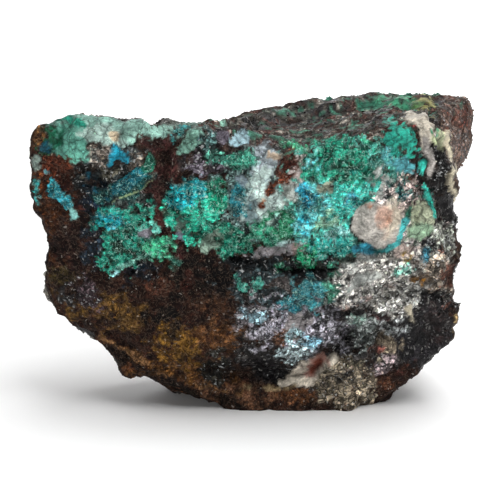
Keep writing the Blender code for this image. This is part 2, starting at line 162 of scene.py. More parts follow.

# Stains and minerals of the show face, with painted shade in some holes, hollows and recesses, laid one over another in
# this order, places on the drawing plane in mm.
# name: (habit, colour, middle, half sizes, turn in degrees, how softly its edge fades, how ragged the edge is)
GROUND_SPOTS = {
    "west ground": (DRUSE, "20201f", (-26.5, 46.5), (9.0, 8.5), 0, 1.2, 1.2),
    "middle ground": (DRUSE, "2b2628", (-8.0, 51.5), (8.0, 5.0), 0, 1.2, 1.2),
    "quartz ground": (DRUSE, "6c8a86", (1.5, 43.5), (8.5, 9.5), -10, 1.0, 1.2),
    "east ground": (MOSS, "5cc4b0", (19.5, 42.0), (13.5, 13.0), 0, 0.8, 1.2),
    "under-crust ground": (DRUSE, "3f5054", (6.0, 24.5), (13.0, 6.5), 0, 1.0, 1.2),
    "clast ground": (DRUSE, "b2afa7", (31.0, 27.0), (10.5, 9.0), 0, 1.0, 1.2),
    "pebble ground": (DRUSE, "b9b0ac", (29.5, 38.0), (8.5, 7.5), 0, 0.8, 1.0),
    "lower ground": (DRUSE, "343130", (15.0, 13.0), (17.0, 9.5), 5, 1.0, 1.5),
    "right ground": (DRUSE, "2a2523", (37.0, 45.0), (4.5, 11.0), 0, 1.0, 1.0),
    "maroon flank": (EARTH, "1e100d", (-35.0, 31.6), (6.6, 6.4), 0, 2.5, 1.5),
    "rust shoulder": (EARTH, "40230f", (-39.6, 41.6), (3.8, 8.0), 0, 1.6, 1.2),
    "dark matrix": (EARTH, "080403", (-8.4, 26.2), (7.4, 5.0), -10, 2.0, 1.2),
    "red matrix": (EARTH, "331a14", (-12.4, 25.8), (1.8, 1.6), 0, 1.2, 0.8),
    "red spot": (EARTH, "4a2c20", (-18.8, 24.0), (2.6, 1.5), 10, 1.0, 0.8),
    "golden belly": (EARTH, "5e441f", (-27.4, 19.4), (7.0, 2.7), -8, 1.6, 1.4),
    "lilac grains": (DRUSE, "4c3e42", (-32.6, 23.0), (2.0, 2.3), 20, 1.2, 1.0),
    "grey grains": (DRUSE, "262322", (-36.6, 21.6), (2.0, 3.8), 10, 1.2, 1.0),
    "olive stain": (EARTH, "3a3018", (-38.0, 26.4), (2.4, 1.6), 0, 1.0, 0.8),
    "deep shade": (EARTH, "0c0907", (-16.8, 17.2), (3.8, 3.4), -30, 1.8, 1.2),
    "gold slope": (EARTH, "684a1c", (-14.0, 13.0), (5.2, 2.8), -12, 1.4, 1.2),
    "rust cheek": (EARTH, "432b1c", (-7.0, 19.4), (4.4, 3.2), 20, 1.6, 1.4),
    "orange slope": (EARTH, "5c3c22", (-5.6, 14.4), (5.2, 2.5), 5, 1.4, 1.2),
    "long underside": (EARTH, "60401f", (-19.0, 7.6), (12.0, 2.4), -10, 1.4, 1.0),
    "right underside": (EARTH, "664632", (-2.0, 2.8), (11.0, 2.0), -3, 1.0, 0.8),
    "orange foot": (EARTH, "5c3a22", (10.2, 2.2), (3.2, 1.8), 0, 0.9, 0.7),
    "knob shade": (EARTH, "1a110b", (-27.4, 11.4), (1.8, 1.9), -40, 0.8, 0.5),
    "knob tip": (EARTH, "4a2a18", (-25.2, 9.0), (1.5, 1.1), -30, 0.6, 0.4),
    "back slab": (DRUSE, "6b574d", (42.0, 55.0), (4.6, 9.0), 0, 1.0, 0.7),
    "slab corner": (EARTH, "6a4036", (42.6, 59.0), (2.6, 3.0), 20, 1.4, 1.2),
    "slab foot": (EARTH, "4c3a32", (41.4, 43.0), (1.6, 5.4), 0, 0.8, 0.5),
    "top layers": (EARTH, "48443f", (14.0, 58.6), (19.0, 4.0), 8, 1.0, 1.4),
    "top brown": (EARTH, "3a2a26", (20.0, 56.8), (11.0, 2.2), 5, 1.0, 1.6),
    "top front shade": (EARTH, "282422", (5.5, 54.8), (6.5, 1.4), -3, 0.8, 0.9),
    "green layer": (WAX, "357a62", (24.6, 61.2), (2.2, 0.6), 10, 0.4, 0.5),
    "leaf layer": (WAX, "3d9670", (29.6, 61.2), (3.0, 0.7), -4, 0.4, 0.5),
    "olive layer": (WAX, "5c8f4a", (33.2, 61.2), (1.0, 0.7), 0, 0.5, 0.4),
    "yellow layer": (CHALK, "8f8c4c", (35.2, 61.2), (1.8, 1.2), -20, 0.6, 0.5),
}
QUARTZ_SPOTS = {
    "eye druse": (DRUSE, "525a5a", (-27.4, 49.2), (7.0, 3.8), 5, 0.9, 0.9),
    "eye pebbles west": (DRUSE, "a89c90", (-30.2, 51.0), (2.2, 2.6), 0, 0.5, 0.8),
    "eye pebbles low": (DRUSE, "7c7868", (-28.6, 47.2), (3.4, 1.5), 10, 0.6, 0.8),
    "eye pebbles east": (DRUSE, "84786c", (-22.6, 49.4), (2.4, 1.8), 10, 0.6, 0.8),
    "ridge druse": (DRUSE, "2c3330", (-24.6, 40.0), (4.2, 2.2), 10, 0.7, 0.8),
    "middle druse": (DRUSE, "6f6872", (-8.6, 48.8), (4.4, 3.0), 10, 0.7, 0.9),
    "upper quartz": (WAX, "b6c3c9", (3.2, 49.0), (2.5, 3.6), -15, 0.8, 0.8),
    "lower quartz": (WAX, "b8ccc6", (1.4, 40.8), (4.0, 5.6), -12, 1.6, 1.4),
    "blue quartz": (WAX, "92a5ae", (-1.8, 44.4), (1.7, 2.8), -15, 1.2, 1.0),
    "shadow quartz": (WAX, "6f8284", (0.6, 37.6), (0.8, 3.0), 0, 1.2, 0.8),
    "pale clast": (WAX, "bec6be", (8.0, 43.4), (2.6, 3.2), -20, 0.8, 0.8),
    "cream crumb": (CHALK, "ab9a86", (5.4, 50.6), (1.7, 0.8), -10, 0.5, 0.4),
    "orange crumb": (CHALK, "a9805c", (2.9, 41.3), (0.5, 0.5), 0, 0.5, 0.3),
    "fibrous quartz": (WAX, "aeb4ae", (25.4, 44.4), (3.2, 3.0), 30, 0.9, 0.9),
    "pink druse": (DRUSE, "c3afa8", (31.0, 43.0), (2.8, 4.4), 0, 0.7, 0.8),
    "pink clast": (WAX, "cfbcb2", (31.2, 31.8), (2.7, 1.5), 20, 0.4, 0.5),
    "grey clasts": (DRUSE, "b0b4a8", (38.0, 32.8), (2.6, 4.0), 0, 0.6, 0.7),
    "warm clasts": (DRUSE, "d6c4b0", (37.4, 27.2), (3.2, 3.5), -20, 0.6, 0.8),
    "cream grains": (DRUSE, "f6f2ea", (22.4, 24.9), (7.2, 4.8), 25, 0.9, 1.0),
    "cream mass": (WAX, "ccd0ca", (21.8, 26.4), (4.6, 2.4), 25, 1.6, 1.4),
    "grey grains low": (DRUSE, "dcdbd4", (30.4, 21.8), (4.0, 3.0), 15, 0.7, 0.9),
    "lower druse": (DRUSE, "9c99a2", (10.0, 16.4), (10.5, 5.4), 5, 0.8, 1.2),
    "left druse": (DRUSE, "6e696c", (0.0, 18.8), (4.0, 3.4), -30, 0.8, 1.2),
    "white clast": (WAX, "9d9797", (9.2, 17.2), (3.0, 1.4), 5, 0.4, 0.6),
    "quartz block": (DRUSE, "9fa8a4", (22.6, 15.4), (3.2, 3.2), 0, 0.5, 0.7),
    "quartz crumbs": (DRUSE, "b6bbbb", (28.0, 15.6), (2.2, 1.5), 15, 0.4, 0.6),
    "rose clast": (WAX, "bdb1ac", (9.6, 47.2), (1.9, 2.4), -30, 0.8, 0.8),
    "wedge clast": (WAX, "c4bfc2", (5.4, 31.5), (5.0, 1.2), 6, 0.3, 0.4),
    "wedge end": (WAX, "b59f9a", (9.2, 31.6), (0.9, 1.2), 0, 0.4, 0.3),
    "grey pebble": (WAX, "8c8d87", (-13.2, 36.4), (1.9, 1.5), 0, 0.3, 0.3),
    "slate pebble": (WAX, "707785", (-12.6, 34.1), (1.7, 0.8), -5, 0.3, 0.3),
    "brown grains": (DRUSE, "6a4a38", (6.6, 15.2), (1.8, 1.1), 0, 0.5, 0.8),
    "tip quartz": (CHALK, "cfc4b4", (11.8, 7.2), (4.2, 2.0), 22, 0.3, 0.3),
    "foot grains": (DRUSE, "8f8370", (19.0, 4.8), (6.2, 4.8), 0, 0.7, 0.9),
    "khaki ledge": (EARTH, "8f8270", (27.6, 12.4), (2.8, 1.9), -10, 0.5, 0.6),
    "pink ledge": (EARTH, "9a5a50", (25.6, 11.8), (1.0, 0.8), 0, 0.6, 0.5),
    "pink grains": (DRUSE, "98888a", (26.8, 9.2), (2.5, 1.5), 10, 0.5, 0.7),
    "red foot": (EARTH, "4a2c26", (29.8, 6.8), (1.4, 1.1), 0, 0.6, 0.6),
    "orange edge": (EARTH, "553626", (27.6, 4.8), (1.8, 1.1), 20, 0.6, 0.5),
    "cream tongue": (CHALK, "cbc1aa", (32.0, 19.6), (0.8, 1.3), 0, 0.4, 0.3),
}
DARK_SPOTS = {
    "glossy face": (GLOSS, "121013", (35.0, 14.2), (6.4, 6.8), 25, 0.6, 0.7),
    "brown gloss": (GLOSS, "1e1514", (38.2, 16.8), (3.0, 3.4), 0, 1.6, 1.0),
    "starred black": (DRUSE, "1d1a1b", (35.6, 22.0), (5.0, 1.9), 5, 0.7, 0.8),
    "dark red glint": (GLOSS, "2f1416", (26.8, 18.3), (1.7, 1.3), 10, 0.4, 0.4),
    "speckled black": (DRUSE, "2e3a3c", (2.6, 24.6), (6.2, 3.8), -8, 0.8, 1.0),
    "dark clast": (GLOSS, "3a3634", (7.2, 25.0), (1.3, 1.1), 20, 0.4, 0.3),
    "green-black": (GLOSS, "181615", (3.2, 8.6), (4.6, 2.8), -28, 0.5, 0.5),
    "black patch": (GLOSS, "0b090b", (4.4, 7.2), (3.9, 2.2), -25, 0.4, 0.3),
    "glitter spot": (DRUSE, "2c2a24", (-7.2, 8.4), (2.3, 2.9), -20, 0.8, 0.9),
    "navy fringe": (DRUSE, "18232d", (-30.4, 33.0), (1.9, 3.4), 15, 1.0, 0.9),
    "navy foot": (DRUSE, "131c26", (-23.2, 26.6), (3.4, 2.0), 10, 0.9, 0.9),
    "navy bowl": (DRUSE, "0f1a26", (-31.2, 40.4), (3.6, 3.0), -20, 1.0, 1.0),
    "bowl floor": (DRUSE, "0d1f28", (-30.8, 44.8), (2.6, 2.8), -20, 0.8, 0.6),
    "black gap": (GLOSS, "14100f", (34.0, 50.2), (1.0, 1.9), 0, 0.3, 0.3),
}
WAX_SPOTS = {
    "sea band left": (WAX, "66ab98", (-36.0, 52.8), (3.7, 3.8), 0, 0.8, 0.8),
    "sea band grey": (WAX, "a8c4ba", (-29.4, 54.9), (4.2, 2.3), 0, 0.8, 0.7),
    "sea band right": (WAX, "8fb8ab", (-21.6, 55.8), (5.2, 2.0), -4, 0.7, 0.8),
    "corner grey": (WAX, "7d8f86", (-42.4, 56.8), (1.4, 1.0), 0, 0.6, 0.5),
    "corner rust": (EARTH, "6a4a2c", (-42.8, 54.0), (1.5, 2.2), 0, 0.7, 0.7),
    "deep green stain": (WAX, "1c6f50", (-39.6, 53.0), (1.9, 1.3), 0, 1.2, 0.9),
    "cerulean stain": (WAX, "1a6274", (-40.8, 51.7), (1.2, 0.8), 0, 0.7, 0.5),
    "cream block": (WAX, "d2c0a2", (-26.8, 54.2), (1.0, 0.75), 20, 0.2, 0.15),
    "rusty tongue": (EARTH, "562b1b", (-39.0, 48.2), (2.8, 2.0), -10, 0.5, 0.7),
    "edge pebble": (WAX, "7f9088", (-43.2, 48.6), (1.4, 1.3), 0, 0.5, 0.4),
    "orange lane": (EARTH, "6d3d23", (-40.0, 43.8), (1.9, 2.9), 10, 0.7, 0.7),
    "small blue pebble": (WAX, "5f9aa0", (-40.4, 47.6), (0.7, 0.6), 0, 0.4, 0.2),
    "leaning clast": (WAX, "84b5a3", (-12.0, 53.2), (2.9, 1.5), 45, 0.3, 0.4),
    "green botryoids": (MOSS, "46a78b", (-1.8, 49.8), (2.4, 2.0), 0, 0.5, 0.8),
    "grey crystal": (WAX, "6e6773", (-5.4, 54.3), (1.4, 1.4), 30, 0.2, 0.2),
    "blue crystal": (WAX, "9dbdc6", (-1.8, 54.2), (2.0, 1.3), 20, 0.2, 0.2),
    "green chip": (WAX, "86b9a6", (-5.8, 56.6), (1.1, 0.7), 10, 0.2, 0.3),
    "brown chip": (EARTH, "5c3b33", (-8.6, 56.2), (1.7, 0.8), 0, 0.4, 0.4),
    "cream-green dome": (WAX, "c3caa2", (38.0, 53.4), (1.9, 1.9), 0, 0.4, 0.4),
    "green leaf": (WAX, "4fae84", (36.8, 54.4), (0.8, 1.2), 10, 0.3, 0.3),
}
CRUST_SPOTS = {
    "west crust": (MOSS, "2a9e84", (-23.6, 33.8), (7.0, 5.4), 15, 0.4, 1.0),
    "west bright": (MOSS, "2bb3a0", (-27.4, 37.2), (3.4, 2.4), -20, 1.0, 0.9),
    "west mint": (MOSS, "4fd6a0", (-18.2, 32.0), (2.7, 1.8), 15, 0.8, 0.7),
    "west foot": (MOSS, "39b598", (-26.2, 29.8), (2.8, 1.8), 15, 0.5, 0.8),
    # Painted shade: dark spots in the west hollow of the crust.
    "west hollow": (MOSS, "1d3f30", (-24.6, 31.5), (1.7, 0.6), -15, 0.6, 0.5),
    "west hollow low": (MOSS, "3a463c", (-22.6, 29.6), (1.2, 0.5), 10, 0.6, 0.4),
    "cyan start": (MOSS, "1fb3c0", (-29.2, 38.2), (2.0, 1.4), -30, 0.7, 0.7),
    "cyan foot": (MOSS, "9fe8e4", (-26.8, 27.4), (1.4, 0.9), 20, 0.5, 0.5),
    "middle crust": (MOSS, "38dcb6", (-10.6, 39.4), (6.4, 6.0), -15, 0.4, 1.0),
    "middle cyan": (MOSS, "26d2da", (-13.6, 42.2), (2.9, 2.7), 0, 1.2, 0.9),
    "middle blue": (MOSS, "2bb0b4", (-10.4, 44.2), (1.8, 1.2), -30, 0.8, 0.6),
    "middle emerald": (MOSS, "12936f", (-7.2, 42.0), (2.0, 3.4), 0, 0.9, 0.7),
    "middle foot": (MOSS, "23a284", (-2.6, 33.2), (3.4, 1.8), 0, 0.5, 0.8),
    "deep teal": (MOSS, "2a7f88", (-2.6, 40.8), (1.7, 3.0), 0, 0.6, 0.6),
    "hem west": (MOSS, "2fa384", (-5.4, 34.0), (4.6, 2.0), -8, 1.0, 0.9),
    "hem middle": (MOSS, "2f9c78", (3.4, 34.4), (5.0, 1.9), 5, 1.2, 0.9),
    "fan quartz": (WAX, "9ab4a2", (-7.2, 34.2), (1.3, 2.0), -30, 0.9, 0.9),
    "east foot": (MOSS, "2d9a6b", (6.8, 36.6), (3.2, 3.4), -20, 1.4, 1.2),
    "east crust": (MOSS, "48d2bd", (18.6, 41.0), (6.2, 7.6), -15, 0.5, 1.0),
    "east emerald": (MOSS, "2a9c7e", (19.0, 48.8), (6.8, 5.0), 5, 0.7, 1.0),
    "east mint": (MOSS, "46cfa0", (23.4, 53.0), (1.6, 1.1), -20, 0.7, 0.6),
    # Painted shade: a dark spot where the crust dips.
    "painted shade east hollow": (MOSS, "0c3a1e", (18.8, 46.8), (2.0, 1.7), 0, 1.0, 0.6),
    "turquoise sweep": (MOSS, "80fafa", (12.2, 39.6), (3.0, 6.4), -15, 1.4, 1.0),
    "blue heart": (MOSS, "36b6d4", (11.4, 42.2), (1.5, 1.5), 0, 1.0, 0.7),
    "blue foot": (MOSS, "3cd2e4", (10.8, 37.0), (1.9, 2.5), 0, 1.2, 0.8),
    "blue fleck": (MOSS, "3fa4b6", (21.0, 41.6), (1.1, 1.4), -20, 0.8, 0.6),
    "white-cyan": (MOSS, "a6eee6", (17.8, 35.0), (2.3, 1.7), 0, 0.8, 0.8),
    "mint cream": (MOSS, "a0dab6", (15.6, 37.6), (1.9, 1.4), 0, 0.8, 0.7),
    "lower mint": (MOSS, "27b87e", (11.6, 30.8), (2.6, 1.9), 0, 0.5, 0.6),
    "lower teal": (MOSS, "3dc0b2", (16.4, 32.0), (4.4, 2.3), 0, 0.8, 0.9),
    "crust shade": (EARTH, "3b4a44", (17.0, 29.8), (3.6, 1.0), -4, 0.7, 0.7),
    "cream spot": (WAX, "b3b9a2", (15.8, 44.0), (1.5, 1.5), 0, 0.5, 0.5),
    # Painted shade: a black dot for a small hole in the cream spot.
    "painted shade in cream spot hole": (GLOSS, "0a0a0a", (16.5, 44.0), (0.5, 0.5), 0, 0.2, 0.1),
    "upper teal": (WAX, "2fae98", (30.0, 54.0), (3.0, 3.6), 10, 0.4, 0.7),
    "teal hole": (EARTH, "3a3a34", (30.2, 51.8), (0.9, 0.8), 0, 0.3, 0.2),
    "blue wedge": (WAX, "5fb2bb", (30.8, 48.3), (2.7, 1.7), -25, 0.6, 0.5),
    "cyan edge": (MOSS, "64bdbf", (27.0, 50.2), (1.2, 1.8), 10, 0.7, 0.6),
    "maroon cap": (EARTH, "5c2c2a", (31.8, 56.8), (2.2, 1.2), 0, 0.4, 0.5),
    "front fringe": (MOSS, "3c9a72", (8.6, 52.6), (2.1, 0.8), -5, 0.5, 0.5),
    "ledge green": (MOSS, "4aa384", (16.8, 24.6), (2.4, 2.6), 0, 0.8, 1.0),
    "loose green": (MOSS, "235a4a", (-15.2, 28.6), (1.3, 1.1), 0, 0.5, 0.5),
    "under green": (MOSS, "2f7d5a", (7.2, 28.2), (1.7, 1.2), 0, 0.4, 0.8),
    "teal fibres": (MOSS, "3f939a", (11.4, 22.4), (5.0, 2.8), 5, 0.7, 1.1),
    "teal glow": (MOSS, "2f8a98", (9.6, 20.6), (2.2, 0.9), 5, 0.6, 0.6),
    "west edge": (MOSS, "3ba8a6", (-42.6, 43.2), (1.1, 2.3), 0, 0.4, 0.5),
    "top cluster": (MOSS, "3a8f8e", (-15.6, 54.8), (1.7, 1.7), 0, 0.6, 0.9),
    "top cluster dark": (DRUSE, "3c5654", (-8.4, 53.4), (1.7, 1.7), 0, 0.6, 0.8),
    "druse teal": (DRUSE, "66b8a2", (-7.2, 50.4), (1.4, 1.0), 10, 0.3, 0.3),
    "pebble teal": (DRUSE, "2b5f60", (29.4, 43.2), (1.5, 1.9), -20, 0.6, 0.7),
    "blue crystals": (DRUSE, "3b7484", (35.2, 30.6), (1.3, 1.9), 10, 0.4, 0.5),
    "pale teal": (DRUSE, "7cc4b0", (29.8, 27.0), (0.9, 2.0), -35, 0.6, 0.6),
    "small teal": (MOSS, "8fa79c", (22.0, 17.8), (1.3, 1.0), 10, 0.3, 0.4),
    "gold crumb": (EARTH, "8a7030", (31.6, 30.0), (1.2, 0.8), 10, 0.4, 0.4),
    "gold nest": (EARTH, "8f6424", (33.8, 25.4), (1.7, 1.2), 0, 0.5, 0.5),
    "dark red edge": (EARTH, "84594c", (39.4, 26.4), (0.9, 2.2), 0, 0.8, 0.8),
    "cyan sparkle": (DRUSE, "a2c8d4", (2.0, 18.2), (2.9, 1.6), -22, 0.5, 0.8),
    "cyan crumb": (DRUSE, "b8dbe0", (9.4, 13.2), (1.6, 1.9), 0, 0.6, 0.8),
    "blue crumb": (DRUSE, "86b4c6", (12.4, 13.6), (1.3, 1.0), 0, 0.6, 0.7),
    "cyan tip": (DRUSE, "bcd0d2", (8.2, 10.6), (3.4, 1.8), 10, 0.4, 0.7),
    "wedge gleam": (CHALK, "c8ece8", (7.0, 32.9), (1.9, 0.4), 4, 0.3, 0.2),
    "lip olive": (DRUSE, "857c68", (20.6, 9.4), (3.5, 1.0), 8, 0.4, 0.5),
    # Painted shade: black for the shade inside two pockets, deep in the side groove and in a hole near the pebble.
    "painted shade in triangle hole": (GLOSS, "050505", (19.8, 14.2), (1.0, 1.2), 30, 0.2, 0.3),
    "painted shade in slit hole": (GLOSS, "050505", (21.6, 18.7), (1.6, 0.5), 20, 0.3, 0.2),
    "painted shade deep in side groove": (GLOSS, "0c0909", (39.4, 40.4), (2.3, 3.0), 20, 0.6, 0.5),
    "painted shade of hole near pebble": (DRUSE, "15161a", (35.0, 33.6), (1.9, 1.3), 20, 0.4, 0.5),
    "clast seam": (DRUSE, "1a1a1c", (38.2, 32.2), (2.0, 1.3), -10, 0.5, 0.6),
    "pebble": (CHALK, "b3aea6", (25.4, 36.6), (5.2, 4.6), -10, 0.3, 0.1),
    "pebble cream": (CHALK, "cabfac", (28.6, 37.6), (2.4, 3.6), -15, 1.6, 0.4),
    "pebble blush": (CHALK, "bd9c8b", (27.0, 38.0), (1.3, 2.4), -10, 1.4, 0.5),
    "blush fleck": (CHALK, "b98d76", (27.6, 36.8), (0.6, 0.8), 0, 0.7, 0.4),
    "upper fleck": (CHALK, "a8745c", (24.9, 40.2), (0.6, 0.4), 0, 0.5, 0.4),
    "pale lobe": (WAX, "b7bfa2", (34.0, 38.0), (2.7, 3.8), 8, 0.4, 0.4),
    "green lobe": (WAX, "9fbf9f", (34.2, 35.2), (2.2, 1.4), 0, 0.8, 0.5),
    "right cream edge": (EARTH, "a08a62", (41.2, 17.6), (0.5, 1.4), 0, 0.4, 0.3),
}
# name: (habit, colour, path, half width, how softly the edge fades, how ragged it is), laid before the spots above in
# LANES_BELOW and after them in LANES_ABOVE; some lanes are painted shade or a painted highlight
LANES_BELOW = {
    "sea rim": (WAX, "7fa89b", ((-43.6, 57.6), (-36.0, 57.8), (-28.0, 57.0), (-19.0, 57.4), (-11.0, 56.0)), 1.9, 0.8, 0.7),
    "maroon lane": (EARTH, "3b211f", ((-16.6, 54.4), (-16.4, 49.6), (-17.8, 43.6), (-18.4, 39.2)), 2.8, 1.4, 1.6),
    "maroon channel": (EARTH, "3a1e1c", ((-18.0, 40.0), (-17.0, 36.0), (-15.0, 33.2), (-12.6, 30.4)), 1.3, 0.6, 0.6),
    "brown strip": (EARTH, "3a1d14", ((-38.0, 48.4), (-35.6, 44.6), (-33.6, 40.6)), 1.8, 0.8, 0.8),
    # Painted shade: a dark lane in the recess under the crust overhang.
    "painted shade under crust": (DRUSE, "15191b", ((-4.4, 30.2), (0.0, 28.2), (6.0, 27.4), (12.0, 27.4), (15.8, 27.8)), 2.0, 0.8, 0.9),
    # Painted shade: near-black down the side groove, where the side of the block lies in shade.
    "side groove": (DRUSE, "0f0c0c", ((37.8, 52.2), (38.2, 47.6), (38.8, 43.6), (40.0, 40.2), (42.2, 36.6)), 2.0, 0.5, 0.7),
    "pink seam": (EARTH, "b5958b", ((19.0, 19.6), (23.0, 22.0), (28.0, 24.6)), 0.8, 0.6, 0.6),
}
LANES_ABOVE = {
    "red head": (EARTH, "542a20", ((8.4, 50.8), (7.2, 48.6), (6.4, 46.8)), 1.5, 0.6, 0.7),
    "red strip": (EARTH, "6a3a28", ((6.4, 46.8), (5.8, 45.4), (4.0, 42.8), (2.8, 40.8)), 0.6, 0.4, 0.5),
    "quartz crack": (DRUSE, "1c2a2a", ((-0.2, 41.0), (-0.8, 38.6), (-0.6, 35.0)), 0.3, 0.35, 0.35),
    "eye": (WAX, "2ba6c2", ((-28.0, 49.6), (-27.4, 50.7), (-26.2, 51.2), (-25.2, 50.5), (-24.7, 49.7)), 0.7, 0.4, 0.45),
    "west rim": (CHALK, "8fcfc8", ((-37.8, 42.6), (-36.2, 40.8), (-35.4, 38.8)), 0.8, 0.5, 0.6),
    "west turquoise": (MOSS, "3fbecb", ((-38.8, 44.8), (-37.5, 42.4), (-36.5, 40.2)), 0.8, 0.5, 0.7),
    "under ridge": (MOSS, "114c4a", ((-29.4, 42.2), (-24.6, 43.6), (-20.6, 46.0)), 1.5, 0.9, 0.6),
    "bowl rim west": (WAX, "135c70", ((-32.8, 46.8), (-31.8, 43.6), (-28.6, 42.2)), 0.4, 0.4, 0.35),
    "ridge": (MOSS, "1d7480", ((-27.2, 43.8), (-24.0, 45.6), (-21.0, 48.0)), 1.0, 0.4, 0.35),
    "ridge end": (MOSS, "1f6e58", ((-20.8, 48.0), (-19.4, 50.0)), 0.8, 0.5, 0.3),
    "thin cream vein": (CHALK, "9db386", ((-27.6, 41.4), (-24.0, 42.9), (-19.8, 45.2)), 0.16, 0.2, 0.10),
    "teal crest": (WAX, "2f9c84", ((-38.8, 57.8), (-36.0, 57.4), (-33.6, 56.4)), 0.9, 0.4, 0.4),
    "clast": (WAX, "949099", ((-20.9, 35.4), (-19.4, 35.8)), 1.1, 0.4, 0.4),
    "clast rim": (MOSS, "6fdcc4", ((-22.4, 36.0), (-21.6, 37.2), (-19.6, 37.4), (-18.2, 35.8)), 0.5, 0.3, 0.3),
    "west hem": (MOSS, "8fe0c8", ((-26.0, 28.2), (-23.0, 29.2), (-20.0, 30.6)), 0.35, 0.3, 0.3),
    "speckle arc": (MOSS, "52b8a2", ((-2.8, 26.4), (-2.0, 24.4), (0.4, 24.0), (2.2, 25.6)), 0.75, 0.3, 0.5),
    "pebble shadow": (DRUSE, "16211f", ((20.4, 38.6), (20.2, 36.0), (21.4, 33.4), (23.8, 31.9)), 0.3, 0.3, 0.2),
    "turquoise seam": (WAX, "3fd0bc", ((34.0, 49.0), (34.8, 45.6), (36.0, 41.6), (36.8, 38.0)), 0.42, 0.3, 0.3),
    "collar": (WAX, "56c8c8", ((22.0, 31.3), (24.4, 30.7), (27.6, 31.2), (29.8, 33.2), (31.2, 36.6)), 0.62, 0.25, 0.2),
    "collar west": (WAX, "42b0cc", ((21.0, 31.8), (24.4, 31.0)), 0.8, 0.6, 0.3),
    "lobe seam": (WAX, "3a7a64", ((31.8, 40.2), (31.6, 37.6)), 0.4, 0.3, 0.2),
    "chalk vein": (CHALK, "cdc4b4", ((31.8, 58.2), (33.8, 57.8), (34.9, 56.0), (35.2, 53.0)), 1.15, 0.4, 0.25),
    "chalk vein foot": (CHALK, "b0aaa4", ((35.2, 53.0), (35.9, 49.6), (36.0, 46.8)), 0.8, 0.6, 0.3),
    "cream seam": (CHALK, "c9bfa6", ((38.8, 55.2), (40.0, 51.6), (40.6, 48.0), (39.9, 46.0), (40.4, 43.6), (41.4, 40.6)), 0.42, 0.3, 0.25),
    # Painted shade under the belly ridge, and a painted highlight along the ridge itself.
    "underside shade": (EARTH, "1a0f09", ((-28.4, 11.8), (-22.8, 8.0), (-16.2, 4.6), (-9.0, 2.2), (-2.0, 1.0)), 0.9, 0.8, 0.6),
    "painted ridge highlight": (EARTH, "7c5a3a", ((-29.8, 14.2), (-23.4, 10.6), (-16.6, 6.8), (-9.6, 4.4), (-2.0, 3.4)), 0.3, 0.5, 0.4),
    "foot lip": (CHALK, "9c8866", ((-1.0, 4.0), (3.4, 3.6), (7.4, 4.0), (9.8, 5.2)), 0.22, 0.25, 0.3),
    "tip edge": (CHALK, "ddd3c2", ((6.6, 4.9), (10.6, 5.9), (14.2, 7.9), (16.8, 10.2)), 0.75, 0.3, 0.2),
    "tip pink": (CHALK, "bb8b7e", ((12.4, 7.8), (14.2, 9.4)), 1.2, 0.8, 0.4),
    "tip red": (CHALK, "9a5342", ((13.0, 7.8), (13.8, 8.8)), 0.5, 0.6, 0.3),
}

# Streaks on the top, where a noise drawn out along the layers passes its threshold. name: (habit, colour, threshold)
TOP_STREAKS = {
    "grey-green": (EARTH, "454741", 0.10),
    "maroon": (EARTH, "48322e", 0.22),
    "black": (GLOSS, "0f0d0d", 0.22),
    "pale": (EARTH, "8a857c", 0.74),
    "green": (WAX, "3a6f5c", 0.78),
}
MATRIX_BROWN = "28160f"
PAINT_WANDER = (6.0, 0.7)       # (size, length) of the shift that bends every spot and lane
EDGE_RAGGED = 1.6               # mm that an edge moves for a raggedness of 1 and a noise of 1
WORN = 0.85                     # how far the rock under a mineral shows through where it is worn
# Rock of the sides that the show face hides: patches where a noise of this size passes its threshold.
# name: (habit, colour, size, threshold, how softly the edge fades)
HIDDEN_PATCHES = {
    "maroon": (EARTH, "331b16", 17.0, 0.10, 0.30),
    "ochre": (EARTH, "574023", 13.0, 0.50, 0.35),
    "grey druse": (DRUSE, "4c4843", 15.0, 0.55, 0.12),
    "pale druse": (DRUSE, "77746c", 9.0, 1.05, 0.10),
    "black oxide": (GLOSS, "151314", 12.0, 0.85, 0.10),
    "green stain": (MOSS, "1f7d64", 11.0, 1.25, 0.10),
}
# Minerals of the back, as the spots of the show face are given, with places as (x, z).
BACK_SPOTS = {
    "druse": (DRUSE, "625d57", (18.0, 43.0), (13.0, 9.0), 10, 1.2, 2.2),
    "gold": (EARTH, "6b4f28", (-12.0, 18.0), (12.0, 6.0), -15, 2.0, 2.0),
    "oxide": (GLOSS, "131113", (30.0, 27.0), (7.0, 5.0), 30, 0.8, 1.8),
    "quartz": (WAX, "8e9b95", (-2.0, 44.0), (7.0, 3.6), -12, 0.5, 1.2),
    "quartz pebble": (WAX, "a39c93", (8.0, 34.0), (3.2, 2.6), 20, 0.4, 0.6),
    "crust": (MOSS, "28a883", (-16.0, 37.0), (12.0, 6.5), 20, 0.4, 1.9),
    "crust heart": (MOSS, "26acc0", (-14.0, 37.0), (6.0, 2.8), 15, 1.4, 1.4),
    "crust mint": (MOSS, "6fd6b4", (-22.0, 34.0), (2.6, 1.8), 0, 0.8, 0.9),
    "low crust": (MOSS, "2b9f7c", (15.0, 18.0), (7.5, 3.4), -18, 0.4, 1.7),
    "low blue": (MOSS, "2596b4", (17.0, 17.6), (3.0, 1.3), -18, 0.8, 0.8),
    "rim crust": (MOSS, "2fae90", (31.0, 51.0), (6.0, 3.0), -5, 0.4, 1.5),
}

# ---- Fineness -----------------------------------------------------------------------------------------------

COLUMNS, ROWS = 270, 180        # cells of the front sheet, even numbers; the back sheet has half as many each way
FINE_RINGS, COARSE_RINGS = 26, 20

